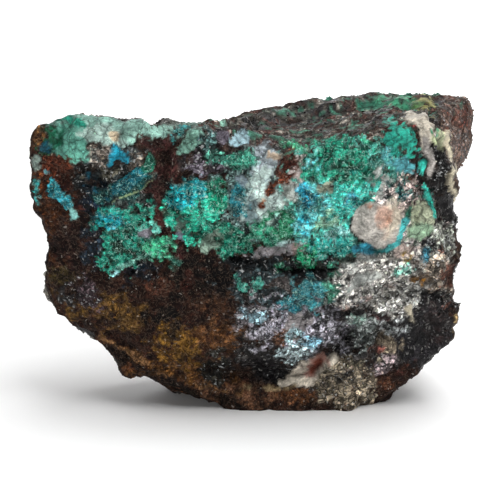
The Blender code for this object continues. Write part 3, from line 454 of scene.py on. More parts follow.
# Fine relief of each habit: (size, height, curve) of its facets, and how far it stands above bare rock.
RELIEF = {
    EARTH: (1.9, 0.48, -1.3, 0.00),
    DRUSE: (1.35, 0.60, -1.3, 0.10),
    GLOSS: (3.2, 0.50, 0.7, -0.10),
    WAX: (3.4, 0.62, -1.6, 0.15),
}
MOSS_LACE = (1.3, 0.55, 0.30)   # size and height of the lacy ridges, and how far the crust stands up
CHALK_RISE = 0.30
GRAIN_CLEARANCE = 1.5           # mm above the floor below which no grain is rooted
LAYER_RUN = np.array((0.94, 0.32, 0.12))  # the way the top's layers run
LAYERING = (0.14, 1.3, 0.38)    # the top's layers: stretch along them, spacing and height


# ---- Repeatable noise ---------------------------------------------------------------------------------------


def hashed(cells, salt):
    """A repeatable number from 0 to 1 for each whole-number cell."""
    a = cells.astype(np.int64).astype(np.uint32)
    mixed = a[..., 0] * np.uint32(374761393) + a[..., 1] * np.uint32(668265263) + a[..., 2] * np.uint32(2246822519)
    mixed = mixed + np.uint32((salt * 3266489917) % 2**32)
    mixed = (mixed ^ (mixed >> np.uint32(15))) * np.uint32(2654435761)
    mixed = (mixed ^ (mixed >> np.uint32(13))) * np.uint32(1274126177)
    return (mixed ^ (mixed >> np.uint32(16))) / 2.0**32


def noise(points, size, salt):
    """Smooth noise from -1 to 1: each point blends the random values of its cell's eight corners."""
    scaled = points / size
    cell = np.floor(scaled)
    part = scaled - cell
    part = part * part * (3 - 2 * part)
    total = np.zeros(len(points))
    for corner in np.ndindex(2, 2, 2):
        share = np.prod(np.where(corner, part, 1 - part), axis=1)
        total += share * hashed(cell + corner, salt)
    return 2 * total - 1


def fractal(points, size, octaves, salt, keep=0.5):
    """Noise in octaves, each half the size of the one before and this share of its height."""
    return sum(noise(points, size / 2**k, salt + k) * keep**k for k in range(octaves))


def lace(points, size, octaves, salt):
    """Ridges from 0 to 1 along the lines where each octave of noise crosses zero."""
    total = sum((1 - np.abs(noise(points, size / 2**k, salt + k))) / 2**k for k in range(octaves))
    return total / sum(0.5**k for k in range(octaves))


def facets(points, size, height, curve, salt):
    """Facets around scattered seeds, each a tilted plane plus a curve times its distance from the seed squared.

    A curve above zero takes the lowest facet at each point, which leaves scoops; below zero the highest, lumps.
    """
    scaled = points / size
    home = np.floor(scaled)
    fold = np.minimum if curve > 0 else np.maximum
    level = np.full(len(points), np.inf if curve > 0 else -np.inf)
    for offset in np.ndindex(3, 3, 3):
        cell = home + offset - 1
        seed = cell + np.stack([hashed(cell, salt + k) for k in range(3)], axis=1)
        tilt = np.stack([hashed(cell, salt + 3 + k) for k in range(3)], axis=1) - 0.5
        away = scaled - seed
        offset_height = 0.5 * (hashed(cell, salt + 6) - 0.5)
        level = fold(level, (away * tilt).sum(axis=1) + offset_height + curve * (away**2).sum(axis=1))
    return height * (level - 0.15 * curve)


def rise(share):
    """Smooth rise from 0 to 1 as the share goes from 0 to 1."""
    share = np.clip(share, 0, 1)
    return share * share * (3 - 2 * share)


# ---- The block's shape --------------------------------------------------------------------------------------


def along(curve, share):
    """Points at these shares, 0 to 1, of the length of a curve given by its points."""
    curve = np.array(curve)
    steps = np.linalg.norm(np.diff(curve, axis=0), axis=1)
    marks = np.concatenate([[0], np.cumsum(steps)]) / steps.sum()
    return np.stack([np.interp(share, marks, curve[:, k]) for k in range(curve.shape[1])], axis=-1)


def sheet(top, right, bottom, left, s, t):
    """The Coons patch of four edge curves: (x, z) at share s from left to right and share t from bottom to top."""
    s, t = s[:, None], t[:, None]
    across = (1 - t) * along(bottom, s[:, 0]) + t * along(top, s[:, 0])
    upward = (1 - s) * along(left, 1 - t[:, 0]) + s * along(right, 1 - t[:, 0])
    corners = (1 - t) * ((1 - s) * np.array(bottom[0]) + s * np.array(bottom[-1]))
    corners += t * ((1 - s) * np.array(top[0]) + s * np.array(top[-1]))
    return across + upward - corners


def broken_face(xz, planes, side):
    """Depth y of a face that broke along several planes: the innermost wins, rounded where two meet."""
    depths = np.stack([y + slope_x * xz[:, 0] + slope_z * xz[:, 1] for y, slope_x, slope_z in planes])
    return -side * PLANE_BLEND * np.log(np.exp(-side * depths / PLANE_BLEND).sum(axis=0))


def block(cube):
    """The plain block for points on the cube from -1 to 1: ruled lines from the show sheet back to the back sheet."""
    s, w, t = ((cube + 1) / 2).T
    front = sheet(TOP_FRONT, RIGHT_FRONT, BOTTOM_FRONT, LEFT_FRONT, s, t)
    back = sheet(TOP_BACK, RIGHT_BACK, BOTTOM_BACK, LEFT_BACK, s, t)
    y = (1 - w) * broken_face(front, SHOW_PLANES, -1) + w * broken_face(back, BACK_PLANES, 1)
    x, z = ((1 - w)[:, None] * front + w[:, None] * back).T
    sag = FOOT_SAG * 4 * w * (1 - w) * (1 - (2 * s - 1) ** 2) * (1 - t) ** 2
    return np.stack([x, y, z - sag], axis=1)


def outward(cube):
    """The unit direction that roughness stands out in: square to the faces, turning smoothly at the edges."""
    powered = cube**EDGE_POWER
    return powered / np.linalg.norm(powered, axis=1, keepdims=True)


def drawing_place(points):
    """(across, up) of each point on the drawing plane."""
    ahead = np.array((0.0, np.cos(EYE_TILT), -np.sin(EYE_TILT)))
    upward = np.array((0.0, np.sin(EYE_TILT), np.cos(EYE_TILT)))
    from_eye = points - (EYE_AIM - EYE_DISTANCE * ahead)
    scale = EYE_DISTANCE / (from_eye @ ahead)
    return np.stack([from_eye[:, 0] * scale, from_eye @ upward * scale + DRAWING_MIDDLE_UP], axis=1)


def faces_eye(points, normals):
    """Cosine of the angle between each normal and the line from its point to the eye."""
    ahead = np.array((0.0, np.cos(EYE_TILT), -np.sin(EYE_TILT)))
    to_eye = EYE_AIM - EYE_DISTANCE * ahead - points
    return (normals * to_eye).sum(axis=1) / np.linalg.norm(to_eye, axis=1)


def ellipse_radius(place, middle, half_sizes, turn):
    """Distance from the middle of a turned ellipse, 1 at its edge."""
    angle = np.radians(turn)
    off = place - middle
    u = (off[:, 0] * np.cos(angle) + off[:, 1] * np.sin(angle)) / half_sizes[0]
    v = (off[:, 1] * np.cos(angle) - off[:, 0] * np.sin(angle)) / half_sizes[1]
    return np.hypot(u, v)


def from_path(place, path):
    """Distance of each place from a path, and the same distance, above zero only right of the path's direction."""
    best = np.full(len(place), np.inf)
    signed = np.zeros(len(place))
    for start, end in zip(np.array(path[:-1]), np.array(path[1:])):
        run = end - start
        share = np.clip((place - start) @ run / (run @ run), 0, 1)
        off = place - (start + share[:, None] * run)
        distance = np.linalg.norm(off, axis=1)
        side = np.sign(off[:, 1] * run[0] - off[:, 0] * run[1])
        signed = np.where(distance < best, -side * distance, signed)
        best = np.minimum(best, distance)
    return best, signed


def show_side_forms(place):
    """The height of all the named lumps, hollows, ribs, grooves and ledges at places on the drawing plane.

    A dome is its height times (1 - r squared) eased; a rib eases down to its half width; a ledge changes height
    at once right of its path, then comes back over its reach.
    """
    height = np.zeros(len(place))
    for middle, half_sizes, turn, top in DOMES.values():
        height += top * rise(1 - ellipse_radius(place, middle, half_sizes, turn) ** 2)
    for path, half_width, top in RIBS.values():
        height += top * rise(1 - from_path(place, path)[0] / half_width)
    for path, change, width, reach in STEPS.values():
        signed = from_path(place, path)[1]
        height += change * rise(signed / width + 0.5) * rise(1 - signed / reach)
    return height


def slopes_away(cube):
    """1 on the left of the block behind its show face, where the top dips out of the eye's sight, else 0."""
    return rise((cube[:, 1] + 0.75) / 0.3) * rise(-cube[:, 0] / 0.2)


# ---- The closed surface that all of it is drawn on ------------------------------------------------------------


def sheet_grid(columns, rows, depth):
    """A flat grid of the cube's points at one depth, row by row from the bottom left."""
    across, up = np.meshgrid(np.linspace(-1, 1, columns + 1), np.linspace(-1, 1, rows + 1))
    return np.stack([across.ravel(), np.full(across.size, depth), up.ravel()], axis=1)


def rim_of_sheet(columns, rows):
    """Numbers of a sheet's rim points, from the bottom left along the bottom, up, back along the top and down."""
    number = np.arange((columns + 1) * (rows + 1)).reshape(rows + 1, columns + 1)
    return np.concatenate([number[0, :-1], number[:-1, -1], number[-1, :0:-1], number[:0:-1, 0]])


def sheet_triangles(columns, rows):
    """Two triangles for each cell of a sheet, facing -Y."""
    number = np.arange((columns + 1) * (rows + 1)).reshape(rows + 1, columns + 1)
    a, b, c, d = number[:-1, :-1], number[:-1, 1:], number[1:, 1:], number[1:, :-1]
    return np.stack([a, b, c, a, c, d], axis=-1).reshape(-1, 3)


def band_triangles(near, far):
    """Two triangles for each step of a band between two rings of as many points, facing out."""
    near_next, far_next = np.roll(near, -1), np.roll(far, -1)
    return np.stack([near, far, far_next, near, far_next, near_next], axis=-1).reshape(-1, 3)


def halving_triangles(near, far):
    """Three triangles for each step of the far ring, which has half the points of the near one."""
    even, odd, even_next, far_next = near[0::2], near[1::2], np.roll(near[0::2], -1), np.roll(far, -1)
    return np.stack([even, far, odd, odd, far, far_next, odd, far_next, even_next], axis=-1).reshape(-1, 3)


def closed_box(columns, rows, fine_rings, coarse_rings):
    """Points of a closed surface on the cube, and its triangles: front sheet, belt of rings, half-as-fine back."""
    front = sheet_grid(columns, rows, -1.0)
    back = sheet_grid(columns // 2, rows // 2, 1.0)
    rim = front[rim_of_sheet(columns, rows)]
    points, triangles = [front], [sheet_triangles(columns, rows)]
    count, ring = len(front), rim_of_sheet(columns, rows)
    for k in range(1, fine_rings + coarse_rings):
        fine = k <= fine_rings
        depth = -1 + k / fine_rings if fine else (k - fine_rings) / coarse_rings
        shape = rim.copy() if fine else rim[::2].copy()
        shape[:, 1] = depth
        new_ring = count + np.arange(len(shape))
        joined = halving_triangles if k == fine_rings + 1 else band_triangles
        triangles.append(joined(ring, new_ring))
        points.append(shape)
        count, ring = count + len(shape), new_ring
    back_rim = count + rim_of_sheet(columns // 2, rows // 2)
    triangles.append(band_triangles(ring, back_rim))
    triangles.append(sheet_triangles(columns // 2, rows // 2)[:, ::-1] + count)
    points.append(back)
    return np.concatenate(points), np.concatenate(triangles)


def vertex_normals(points, triangles):
    """Unit normals at the points: the sum of the triangles' cross products around each."""
    a, b, c = (points[triangles[:, k]] for k in range(3))
    cross = np.cross(b - a, c - a)
    total = np.zeros_like(points)
    for corner in range(3):
        for axis in range(3):
            total[:, axis] += np.bincount(triangles[:, corner], cross[:, axis], len(points))
    return total / np.maximum(np.linalg.norm(total, axis=1, keepdims=True), 1e-9)


# ---- Painting the mineral map ---------------------------------------------------------------------------------


def linear(hex_colour):
    """sRGB hex to linear red, green and blue."""
    srgb = np.array([int(hex_colour[k : k + 2], 16) for k in (0, 2, 4)]) / 255
    return np.where(srgb <= 0.04045, srgb / 12.92, ((srgb + 0.055) / 1.055) ** 2.4)


class MineralMap:
    """What each point of the surface is made of, and where shade and highlights are painted on it: its colour, and a
    weight for each habit that sums to 1.
    """

    def __init__(self, count):
        self.tint = np.tile(linear(MATRIX_BROWN), (count, 1))
        self.habit = np.zeros((count, 6))
        self.habit[:, EARTH] = 1

    def lay(self, habit, colour, cover):
        """Covers the map with a mineral, as far as the cover goes from 0 to 1."""
        cover = cover[:, None]
        self.tint = (1 - cover) * self.tint + cover * linear(colour)
        self.habit *= 1 - cover
        self.habit[:, habit] += cover[:, 0]


def lay_hidden_sides(minerals, points, turned_away):
    fine = fractal(points, 3.0, 3, 291, 0.8)
    for salt, (habit, colour, size, threshold, soft) in enumerate(HIDDEN_PATCHES.values()):
        field = 1.7 * fractal(points, size, 4, 200 + 10 * salt, 0.7) + 0.25 * fine
        cover = rise((field - threshold) / soft + 0.5)
        minerals.lay(habit, colour, cover * turned_away if habit == MOSS else cover)


class Brush:
    """Lays named spots and lanes, each with its edge moved in and out by noise times how ragged it is."""

    def __init__(self, minerals, place, points, where):
        self.minerals, self.place, self.where = minerals, place, where
        self.edges = [EDGE_RAGGED * fractal(points, 3.6, 4, salt, 0.8) for salt in (301, 311, 321, 331)]
        self.worn = [
            1 - WORN * rise((fractal(points, 1.5, 2, salt, 0.8) - 0.35) / 0.2) for salt in (341, 351, 361, 371)
        ]

    def cover(self, k, inside, soft, ragged):
        return self.where * rise((inside + ragged * self.edges[k % 4]) / soft + 0.5)

    def lay_spots(self, spots):
        for k, (habit, colour, middle, half_sizes, turn, soft, ragged) in enumerate(spots.values()):
            inside = (1 - ellipse_radius(self.place, middle, half_sizes, turn)) * min(half_sizes)
            cover = self.cover(k, inside, soft, ragged)
            self.minerals.lay(habit, colour, cover * self.worn[k % 4] if habit in (EARTH, MOSS, DRUSE) else cover)

    def lay_lanes(self, lanes):
        for k, (habit, colour, path, half_width, soft, ragged) in enumerate(lanes.values()):
            inside = half_width - from_path(self.place, path)[0]
            self.minerals.lay(habit, colour, self.cover(k, inside, soft, ragged))


def lay_show_face(minerals, place, points, seen):
    brush = Brush(minerals, place, points, seen)
    minerals.lay(EARTH, MATRIX_BROWN, seen)
    brush.lay_spots(GROUND_SPOTS)
    brush.lay_lanes(LANES_BELOW)
    brush.lay_spots(DARK_SPOTS)
    brush.lay_spots(QUARTZ_SPOTS)
    brush.lay_spots(WAX_SPOTS)
    brush.lay_spots(CRUST_SPOTS)
    brush.lay_lanes(LANES_ABOVE)


def drawn_out(points, stretch):
    """The points with their distance along the layers' run made this share of what it was."""
    return points - (1 - stretch) * (points @ LAYER_RUN)[:, None] * LAYER_RUN


def lay_top_streaks(minerals, points, on_top):
    """Thin streaks on the top, where layers of the rock come out."""
    stretch, spacing, _ = LAYERING
    bent = points + 2.2 * np.stack([fractal(points, 8.0, 2, salt) for salt in (651, 661, 671)], axis=1)
    for salt, (habit, colour, threshold) in enumerate(TOP_STREAKS.values()):
        field = fractal(drawn_out(bent, stretch), spacing, 3, 601 + 10 * salt, 0.8)
        minerals.lay(habit, colour, on_top * rise((field - threshold) / 0.10 + 0.5))


def habit_channels(habit):
    """Crust, druse and gloss in red, green and blue, and what is smooth (wax and chalk) in alpha."""
    return np.column_stack([habit[:, [MOSS, DRUSE, GLOSS]], habit[:, WAX] + habit[:, CHALK]])


def habit_relief(habit, points, on_top):
    """The fine relief of every habit, mixed by its weight, and a shade from 0 in pits to 1 on crests, which is painted
    into the colour as shade in the pits and light on the crests.
    """
    height = np.zeros(len(points))
    crest = np.zeros(len(points))
    for kind, (size, tall, curve, stand) in RELIEF.items():
        shape = facets(points, size, 1.0, curve, 400 + 10 * kind)
        height += habit[:, kind] * (tall * shape + stand)
        crest += habit[:, kind] * (shape - shape.min()) / np.ptp(shape)
    size, tall, stand = MOSS_LACE
    strands = lace(points, size, 3, 471)
    crest_of_strands = rise((strands - 0.45) / 0.5)
    height += habit[:, MOSS] * (tall * (crest_of_strands - 0.5) + stand)
    crest += habit[:, MOSS] * crest_of_strands
    height += habit[:, CHALK] * (CHALK_RISE + 0.12 * noise(points, 1.1, 481))
    crest += habit[:, CHALK] * 0.7
    stretch, spacing, tall = LAYERING
    layers = fractal(drawn_out(points, stretch), spacing, 2, 491)
    height += on_top * tall * layers
    return height, np.clip(crest + on_top * 0.35 * layers, 0, 1)


# ---- Meshes ---------------------------------------------------------------------------------------------------


def mesh_piece(name, points, triangles, smooth, colours):
    """A mesh object from arrays in millimetres, with one colour attribute for each entry of colours."""
    mesh = bpy.data.meshes.new(name)
    mesh.vertices.add(len(points))
    mesh.vertices.foreach_set("co", (points * MM).astype(np.float32).ravel())
    mesh.loops.add(triangles.size)
    mesh.loops.foreach_set("vertex_index", triangles.astype(np.int32).ravel())
    mesh.polygons.add(len(triangles))
    mesh.polygons.foreach_set("loop_start", np.arange(0, triangles.size, 3, dtype=np.int32))
    mesh.polygons.foreach_set("use_smooth", np.full(len(triangles), smooth))
    for attribute, values in colours.items():
        layer = mesh.attributes.new(attribute, "FLOAT_COLOR", "POINT")
        layer.data.foreach_set("color", values.astype(np.float32).ravel())
    mesh.update(calc_edges=True)
    piece = bpy.data.objects.new(name, mesh)
    bpy.context.scene.collection.objects.link(piece)
    return piece


def make_rock():
    """The whole block. Returns the piece, (points, triangles, normals, tint) and the weights of its habits."""
    cube, triangles = closed_box(COLUMNS, ROWS, FINE_RINGS, COARSE_RINGS)
    softened = cube / (np.abs(cube) ** CORNER_POWER).sum(axis=1, keepdims=True) ** (1 / CORNER_POWER)
    plain = block(softened)
    direction = outward(cube)
    to_eye = np.array((0.0, -np.cos(EYE_TILT), np.sin(EYE_TILT)))
    seen = rise(direction @ to_eye / 0.15) * (1 - slopes_away(softened))
    wander = np.stack([fractal(plain, WANDER[0], 2, salt) for salt in (11, 21, 31)], axis=1)
    place = drawing_place(plain) + FORM_WANDER * wander[:, [0, 2]]
    bent = plain + WANDER[1] * wander
    forms = seen * show_side_forms(place)
    height = forms + (1 - (1 - SHOW_SIDE_BROAD) * seen) * facets(bent, *BROAD_SCOOPS, 41)
    height += facets(bent, *CHIP_SCOOPS, 51) + facets(bent, *SMALL_LUMPS, 61)
    rough = plain + height[:, None] * direction

    minerals = MineralMap(len(rough))
    facing = faces_eye(plain, vertex_normals(plain, triangles))
    turned_away = rise((-0.1 - facing) / 0.15) * rise((direction[:, 2] + 0.6) / 0.2)
    lay_hidden_sides(minerals, rough, turned_away)
    behind = rise((direction[:, 1] - 0.3) / 0.4)
    Brush(minerals, rough[:, [0, 2]], rough, behind).lay_spots(BACK_SPOTS)
    wander = np.stack([fractal(rough, PAINT_WANDER[0], 3, salt, 0.6) for salt in (131, 141)], axis=1)
    lay_show_face(minerals, drawing_place(rough) + PAINT_WANDER[1] * wander, rough, rise((facing + 0.02) / 0.08))
    on_top = rise((direction[:, 2] - 0.4) / 0.4) * minerals.habit[:, EARTH]
    lay_top_streaks(minerals, rough, on_top)
    fine, crest = habit_relief(minerals.habit, rough, on_top)
    points = rough + fine[:, None] * vertex_normals(rough, triangles)
    points[:, 2] = np.maximum(points[:, 2], 0)

    # Painted shade and light: the colour is darkened in the pits of the fine relief and in the named hollows, grooves
    # and drops, and lightened on crests; the patina is a random tone.
    patina = 0.82 + 0.36 * fractal(points, 4.5, 3, 501)
    painted_pit_shade = 1 - 0.55 * rise(-forms / 1.6)
    tone = (0.3 + 1.1 * crest) * patina * painted_pit_shade
    tint = np.clip(minerals.tint * tone[:, None], 0, 1)
    full, none = np.ones(len(points)), np.zeros(len(points))
    colours = {
        "tint": np.column_stack([tint, full]),
        "habit": habit_channels(minerals.habit),
        "marks": np.column_stack([1 - minerals.habit[:, CHALK], on_top, none, full]),
    }
    piece = mesh_piece("rock", points, triangles, True, colours)
    return piece, (points, triangles, vertex_normals(points, triangles), tint), minerals.habit


# ---- Grains and fibres ----------------------------------------------------------------------------------------


def triangle_areas(points, triangles):
    a, b, c = (points[triangles[:, k]] for k in range(3))
    return 0.5 * np.linalg.norm(np.cross(b - a, c - a), axis=1)


def upright_frames(axes, rng):
    """For each unit axis, a matrix whose columns are two random directions square to it and the axis itself."""
    helper = rng.normal(size=axes.shape)
    first = np.cross(axes, helper)
    first /= np.linalg.norm(first, axis=1, keepdims=True)
    return np.stack([first, np.cross(axes, first), axes], axis=2)


def crystal_template():
    """A six-sided crystal of radius 1 and height 1 with a six-sided point, its root open because it is buried."""
    angles = np.arange(6) * np.pi / 3
    ring = np.stack([np.cos(angles), np.sin(angles), np.zeros(6)], axis=1)
    points = np.concatenate([ring + (0, 0, -0.5), ring + (0, 0, 0.45), [(0, 0, 1.0)]])
    k = np.arange(6)
    following = (k + 1) % 6
    sides = np.concatenate([np.stack([k, following, following + 6], 1), np.stack([k, following + 6, k + 6], 1)])
    return points, np.concatenate([sides, np.stack([k + 6, following + 6, np.full(6, 12)], 1)])


def chip_template():
    """A twenty-sided chip of radius 1."""
    golden = (1 + 5**0.5) / 2
    points = np.array([(0, a, b * golden) for a in (-1, 1) for b in (-1, 1)])
    points = np.concatenate([points, points[:, [2, 0, 1]], points[:, [1, 2, 0]]]) / np.hypot(1, golden)
    close = np.linalg.norm(points[:, None] - points[None], axis=2) < 1.1
    triangles = [
        (a, b, c) if np.dot(np.cross(points[b] - points[a], points[c] - points[a]), points[a]) > 0 else (a, c, b)
        for a in range(12)
        for b in range(a + 1, 12)
        for c in range(b + 1, 12)
        if close[a, b] and close[b, c] and close[a, c]
    ]
    return points, np.array(triangles)


def fibre_template():
    """A three-sided fibre of radius 1 and height 1, bent once and drawn to a point."""
    angles = np.arange(3) * 2 * np.pi / 3
    ring = np.stack([np.cos(angles), np.sin(angles), np.zeros(3)], axis=1)
    bend = np.array((1.6, 0.0, 0.0))
    points = np.concatenate([ring + (0, 0, -0.1), 0.75 * ring + (0, 0, 0.5), [bend + (0, 0, 1.0)]])
    k = np.arange(3)
    following = (k + 1) % 3
    sides = np.concatenate([np.stack([k, following, following + 3], 1), np.stack([k, following + 3, k + 3], 1)])
    return points, np.concatenate([sides, np.stack([k + 3, following + 3, np.full(3, 6)], 1)])


def scatter(name, template, rock, weight, count, widths, heights, lean, brightness, seed):
    """Joins copies of a template into one mesh, rooted on the rock where the weight is high.

    Widths, heights and brightness are ranges. Small ones are commoner: each is low + (high - low) x random squared.
    Lean is how far a copy's axis strays from the surface's normal. Each takes the colour of the rock under it, painted
    shade and light included.
    """
    points, triangles, normals, tint = rock
    shape, faces = template
    rng = np.random.default_rng(seed)
    areas = np.bincount(triangles.ravel(), np.repeat(triangle_areas(points, triangles), 3), len(points))
    chance = weight * areas * (points[:, 2] > GRAIN_CLEARANCE)
    roots = rng.choice(len(points), count, p=chance / chance.sum())
    axes = normals[roots] + lean * rng.normal(size=(count, 3))
    axes /= np.linalg.norm(axes, axis=1, keepdims=True)
    frames = upright_frames(axes, rng)

    def drawn(low_high):
        return low_high[0] + (low_high[1] - low_high[0]) * rng.random(count) ** 2

    sizes = np.stack([drawn(widths), drawn(widths), drawn(heights)], axis=1)
    jitter = 1 + 0.14 * rng.normal(size=(count, len(shape), 1))
    local = shape[None] * jitter * sizes[:, None]
    placed = points[roots, None] + np.einsum("nij,nkj->nki", frames, local)
    joined = (faces[None] + len(shape) * np.arange(count)[:, None, None]).reshape(-1, 3)
    shade = drawn(brightness)[:, None] * (1 + 0.04 * rng.normal(size=(count, 3)))
    colour = np.clip(np.repeat(tint[roots] * shade, len(shape), axis=0), 0.004, 0.9)
    colours = {"tint": np.column_stack([colour, np.ones(len(colour))])}
    return mesh_piece(name, placed.reshape(-1, 3), joined, False, colours)


# ---- Materials --------------------------------------------------------------------------------------------------


def per_mm(size):
    """The scale of a texture node whose features are this many millimetres across."""
    return 1 / (size * MM)


def new_material(name):
    material = bpy.data.materials.new(name)
    material.use_nodes = True
    tree = material.node_tree
    return material, tree, tree.nodes["Principled BSDF"]


def add(tree, kind, links, out=0, stops=(), **settings):
    """Adds a node and returns one of its outputs.

    Links give its inputs, each a value or another node's output. Stops are a colour ramp's, each a position and a
    grey or a linear colour. Settings are its properties.
    """
    node = tree.nodes.new(kind)
    for key, value in settings.items():
        setattr(node, key, value)
    for key, value in links.items():
        if isinstance(value, bpy.types.NodeSocket):
            tree.links.new(value, node.inputs[key])
        else:
            node.inputs[key].default_value = value
    for _ in stops[2:]:
        node.color_ramp.elements.new(0.5)
    for k, (position, colour) in enumerate(stops):
        node.color_ramp.elements[k].position = position
        node.color_ramp.elements[k].color = (*np.broadcast_to(colour, 3), 1)
    return node.outputs[out]


def rock_material():
    """Iron-stained rock with chrysocolla crust, quartz druse and black oxide, broken with a hammer.

    The tint attribute gives each mineral's colour, with painted shade in pits and hollows and painted light on crests,
    the habit attribute how it grows and the marks attribute where seams and layers show. To the eye: lacy crust with
    bright and dark specks and painted mint highlights, salt-and-pepper grains with sharp painted glints in the druse,
    dull granules with a few painted sparks in the earth, wet gloss and painted glints on the oxide and a soft sheen on
    the waxy chalcedony.
    """
    material, tree, shader = new_material("iron_stained_copper_ore")
    place = add(tree, "ShaderNodeTexCoord", {}, "Object")
    tint = add(tree, "ShaderNodeAttribute", {}, "Color", attribute_name="tint")
    habit = add(tree, "ShaderNodeAttribute", {}, "Color", attribute_name="habit")
    marks = add(tree, "ShaderNodeAttribute", {}, "Color", attribute_name="marks")
    crust_share, druse_share, oxide_share = add(tree, "ShaderNodeSeparateColor", {0: habit}).node.outputs
    seams_show, layers_show, _ = add(tree, "ShaderNodeSeparateColor", {0: marks}).node.outputs
    shares = (crust_share, druse_share, oxide_share, habit.node.outputs["Alpha"])

    # A noise bends the place by up to a millimetre, so that no pattern below has straight edges.
    bend = add(tree, "ShaderNodeTexNoise", {"Vector": place, "Scale": per_mm(2.0), "Detail": 2.0}, "Color")
    bend = add(tree, "ShaderNodeVectorMath", {0: bend, 1: (0.5, 0.5, 0.5)}, operation="SUBTRACT")
    bend = add(tree, "ShaderNodeVectorMath", {0: bend, "Scale": 2.2 * MM}, operation="SCALE")
    bent = add(tree, "ShaderNodeVectorMath", {0: place, 1: bend}, operation="ADD")
    slanted = {"Vector": bent, "Rotation": (0.0, 0.6, 0.0), "Scale": (0.4, 1.0, 1.1)}
    slanted = add(tree, "ShaderNodeMapping", slanted)
    layered = {"Vector": bent, "Rotation": (0.0, -0.12, 0.33), "Scale": (7.0, 1.0, 1.0)}
    layered = add(tree, "ShaderNodeMapping", layered, vector_type="TEXTURE")

    # Cells are grains, each with its own random numbers; the distance to their edges is the seams between them.
    grain = add(tree, "ShaderNodeTexVoronoi", {"Vector": bent, "Scale": per_mm(1.25)})
    grain_random = add(tree, "ShaderNodeSeparateColor", {0: grain.node.outputs["Color"]})
    speck = add(tree, "ShaderNodeTexVoronoi", {"Vector": bent, "Scale": per_mm(0.36)}, "Color")
    speck_random, speck_other, _ = add(tree, "ShaderNodeSeparateColor", {0: speck}).node.outputs
    to_edge = {"feature": "DISTANCE_TO_EDGE"}
    grain_seam = add(tree, "ShaderNodeTexVoronoi", {"Vector": bent, "Scale": per_mm(1.25)}, **to_edge)
    clast_seam = add(tree, "ShaderNodeTexVoronoi", {"Vector": bent, "Scale": per_mm(2.9)}, **to_edge)

    # Noises from coarse to fine. Near its middle value, 0.5, a noise draws thin winding lines.
    cloud, layers, crevice, thread, strands, plumes = (
        add(tree, "ShaderNodeTexNoise", {"Vector": where, "Scale": per_mm(size), "Detail": fine, "Roughness": rough})
        for where, size, fine, rough in (
            (place, 2.4, 5.0, 0.7),
            (layered, 0.9, 3.0, 0.7),
            (bent, 1.5, 3.0, 0.6),
            (bent, 1.1, 2.0, 0.6),
            (bent, 0.9, 4.0, 0.75),
            (slanted, 0.8, 3.0, 0.7),
        )
    )

    def toned(colour, pattern, *stops):
        """The colour times the grey or tint that the stops give the pattern."""
        tone = add(tree, "ShaderNodeValToRGB", {0: pattern}, stops=stops)
        return add(tree, "ShaderNodeMix", {0: 1.0, 6: colour, 7: tone}, 2, data_type="RGBA", blend_type="MULTIPLY")

    def covered(colour, share, other):
        """The other colour laid over the first, as far as the share goes."""
        return add(tree, "ShaderNodeMix", {0: share, 6: colour, 7: other}, 2, data_type="RGBA")

    def painted_glints(colour, pattern, fleck, *stops):
        """Painted glints: flecks of a hex colour where the stops raise the pattern."""
        share = add(tree, "ShaderNodeValToRGB", {0: pattern}, stops=stops)
        return covered(colour, share, (*linear(fleck), 1))

    earth = toned(tint, cloud, (0.36, 0.30), (0.5, 0.85), (0.64, 1.9))
    earth = toned(earth, strands, (0.36, 0.4), (0.64, 1.6))
    earth = covered(earth, layers_show, toned(earth, layers, (0.36, 0.3), (0.5, 0.9), (0.64, 2.4)))
    earth = toned(earth, crevice, (0.45, 1.0), (0.5, 0.25), (0.55, 1.0))
    earth = toned(earth, speck_random, (0.0, 0.55), (0.6, 0.95), (0.9, 1.3), (1.0, 2.0))
    # Painted glints: pale dashes and rare sparks on the earth.
    earth = painted_glints(earth, thread, "a88f7c", (0.47, 0.0), (0.5, 0.16), (0.53, 0.0))
    earth = painted_glints(earth, speck_other, "d8ccc0", (0.99, 0.0), (0.995, 0.22))
    # Partly painted shade and highlight: the plumes darken the crust between its strands and lighten it, tinted mint,
    # on them, over its own streaky colour.
    crust = toned(tint, plumes, (0.36, (0.12, 0.26, 0.30)), (0.5, 0.95), (0.64, (2.2, 1.55, 1.75)))
    crust = toned(crust, strands, (0.36, 0.6), (0.64, 1.35))
    crust = toned(crust, cloud, (0.36, 0.62), (0.5, 0.95), (0.64, 1.3))
    crust = toned(crust, crevice, (0.44, 1.03), (0.5, 0.5), (0.56, 1.03))
    crust = toned(crust, speck_random, (0.0, 0.75), (0.6, 1.0), (1.0, 1.3))
    # Painted highlights: pale mint flecks on the crust.
    crust = painted_glints(crust, thread, "b4ead8", (0.47, 0.0), (0.5, 0.5), (0.53, 0.0))
    crust = painted_glints(crust, speck_other, "d2f2e6", (0.95, 0.0), (0.98, 0.45))
    druse = toned(tint, grain_random, (0.0, 0.16), (0.5, 0.82), (1.0, 2.5))
    druse = toned(druse, grain_seam, (0.0, 0.08), (0.07, 0.52), (0.16, 1.08))
    druse = toned(druse, speck_random, (0.0, 0.45), (0.6, 1.0), (1.0, 1.7))
    # Painted glints: white flecks in the druse.
    druse = painted_glints(druse, speck_other, "dcdedd", (0.92, 0.0), (0.97, 0.4))
    oxide = toned(tint, grain_random, (0.0, 0.4), (0.6, 1.0), (1.0, 3.4))
    oxide = toned(oxide, speck_random, (0.0, 0.5), (0.6, 1.0), (1.0, 2.2))
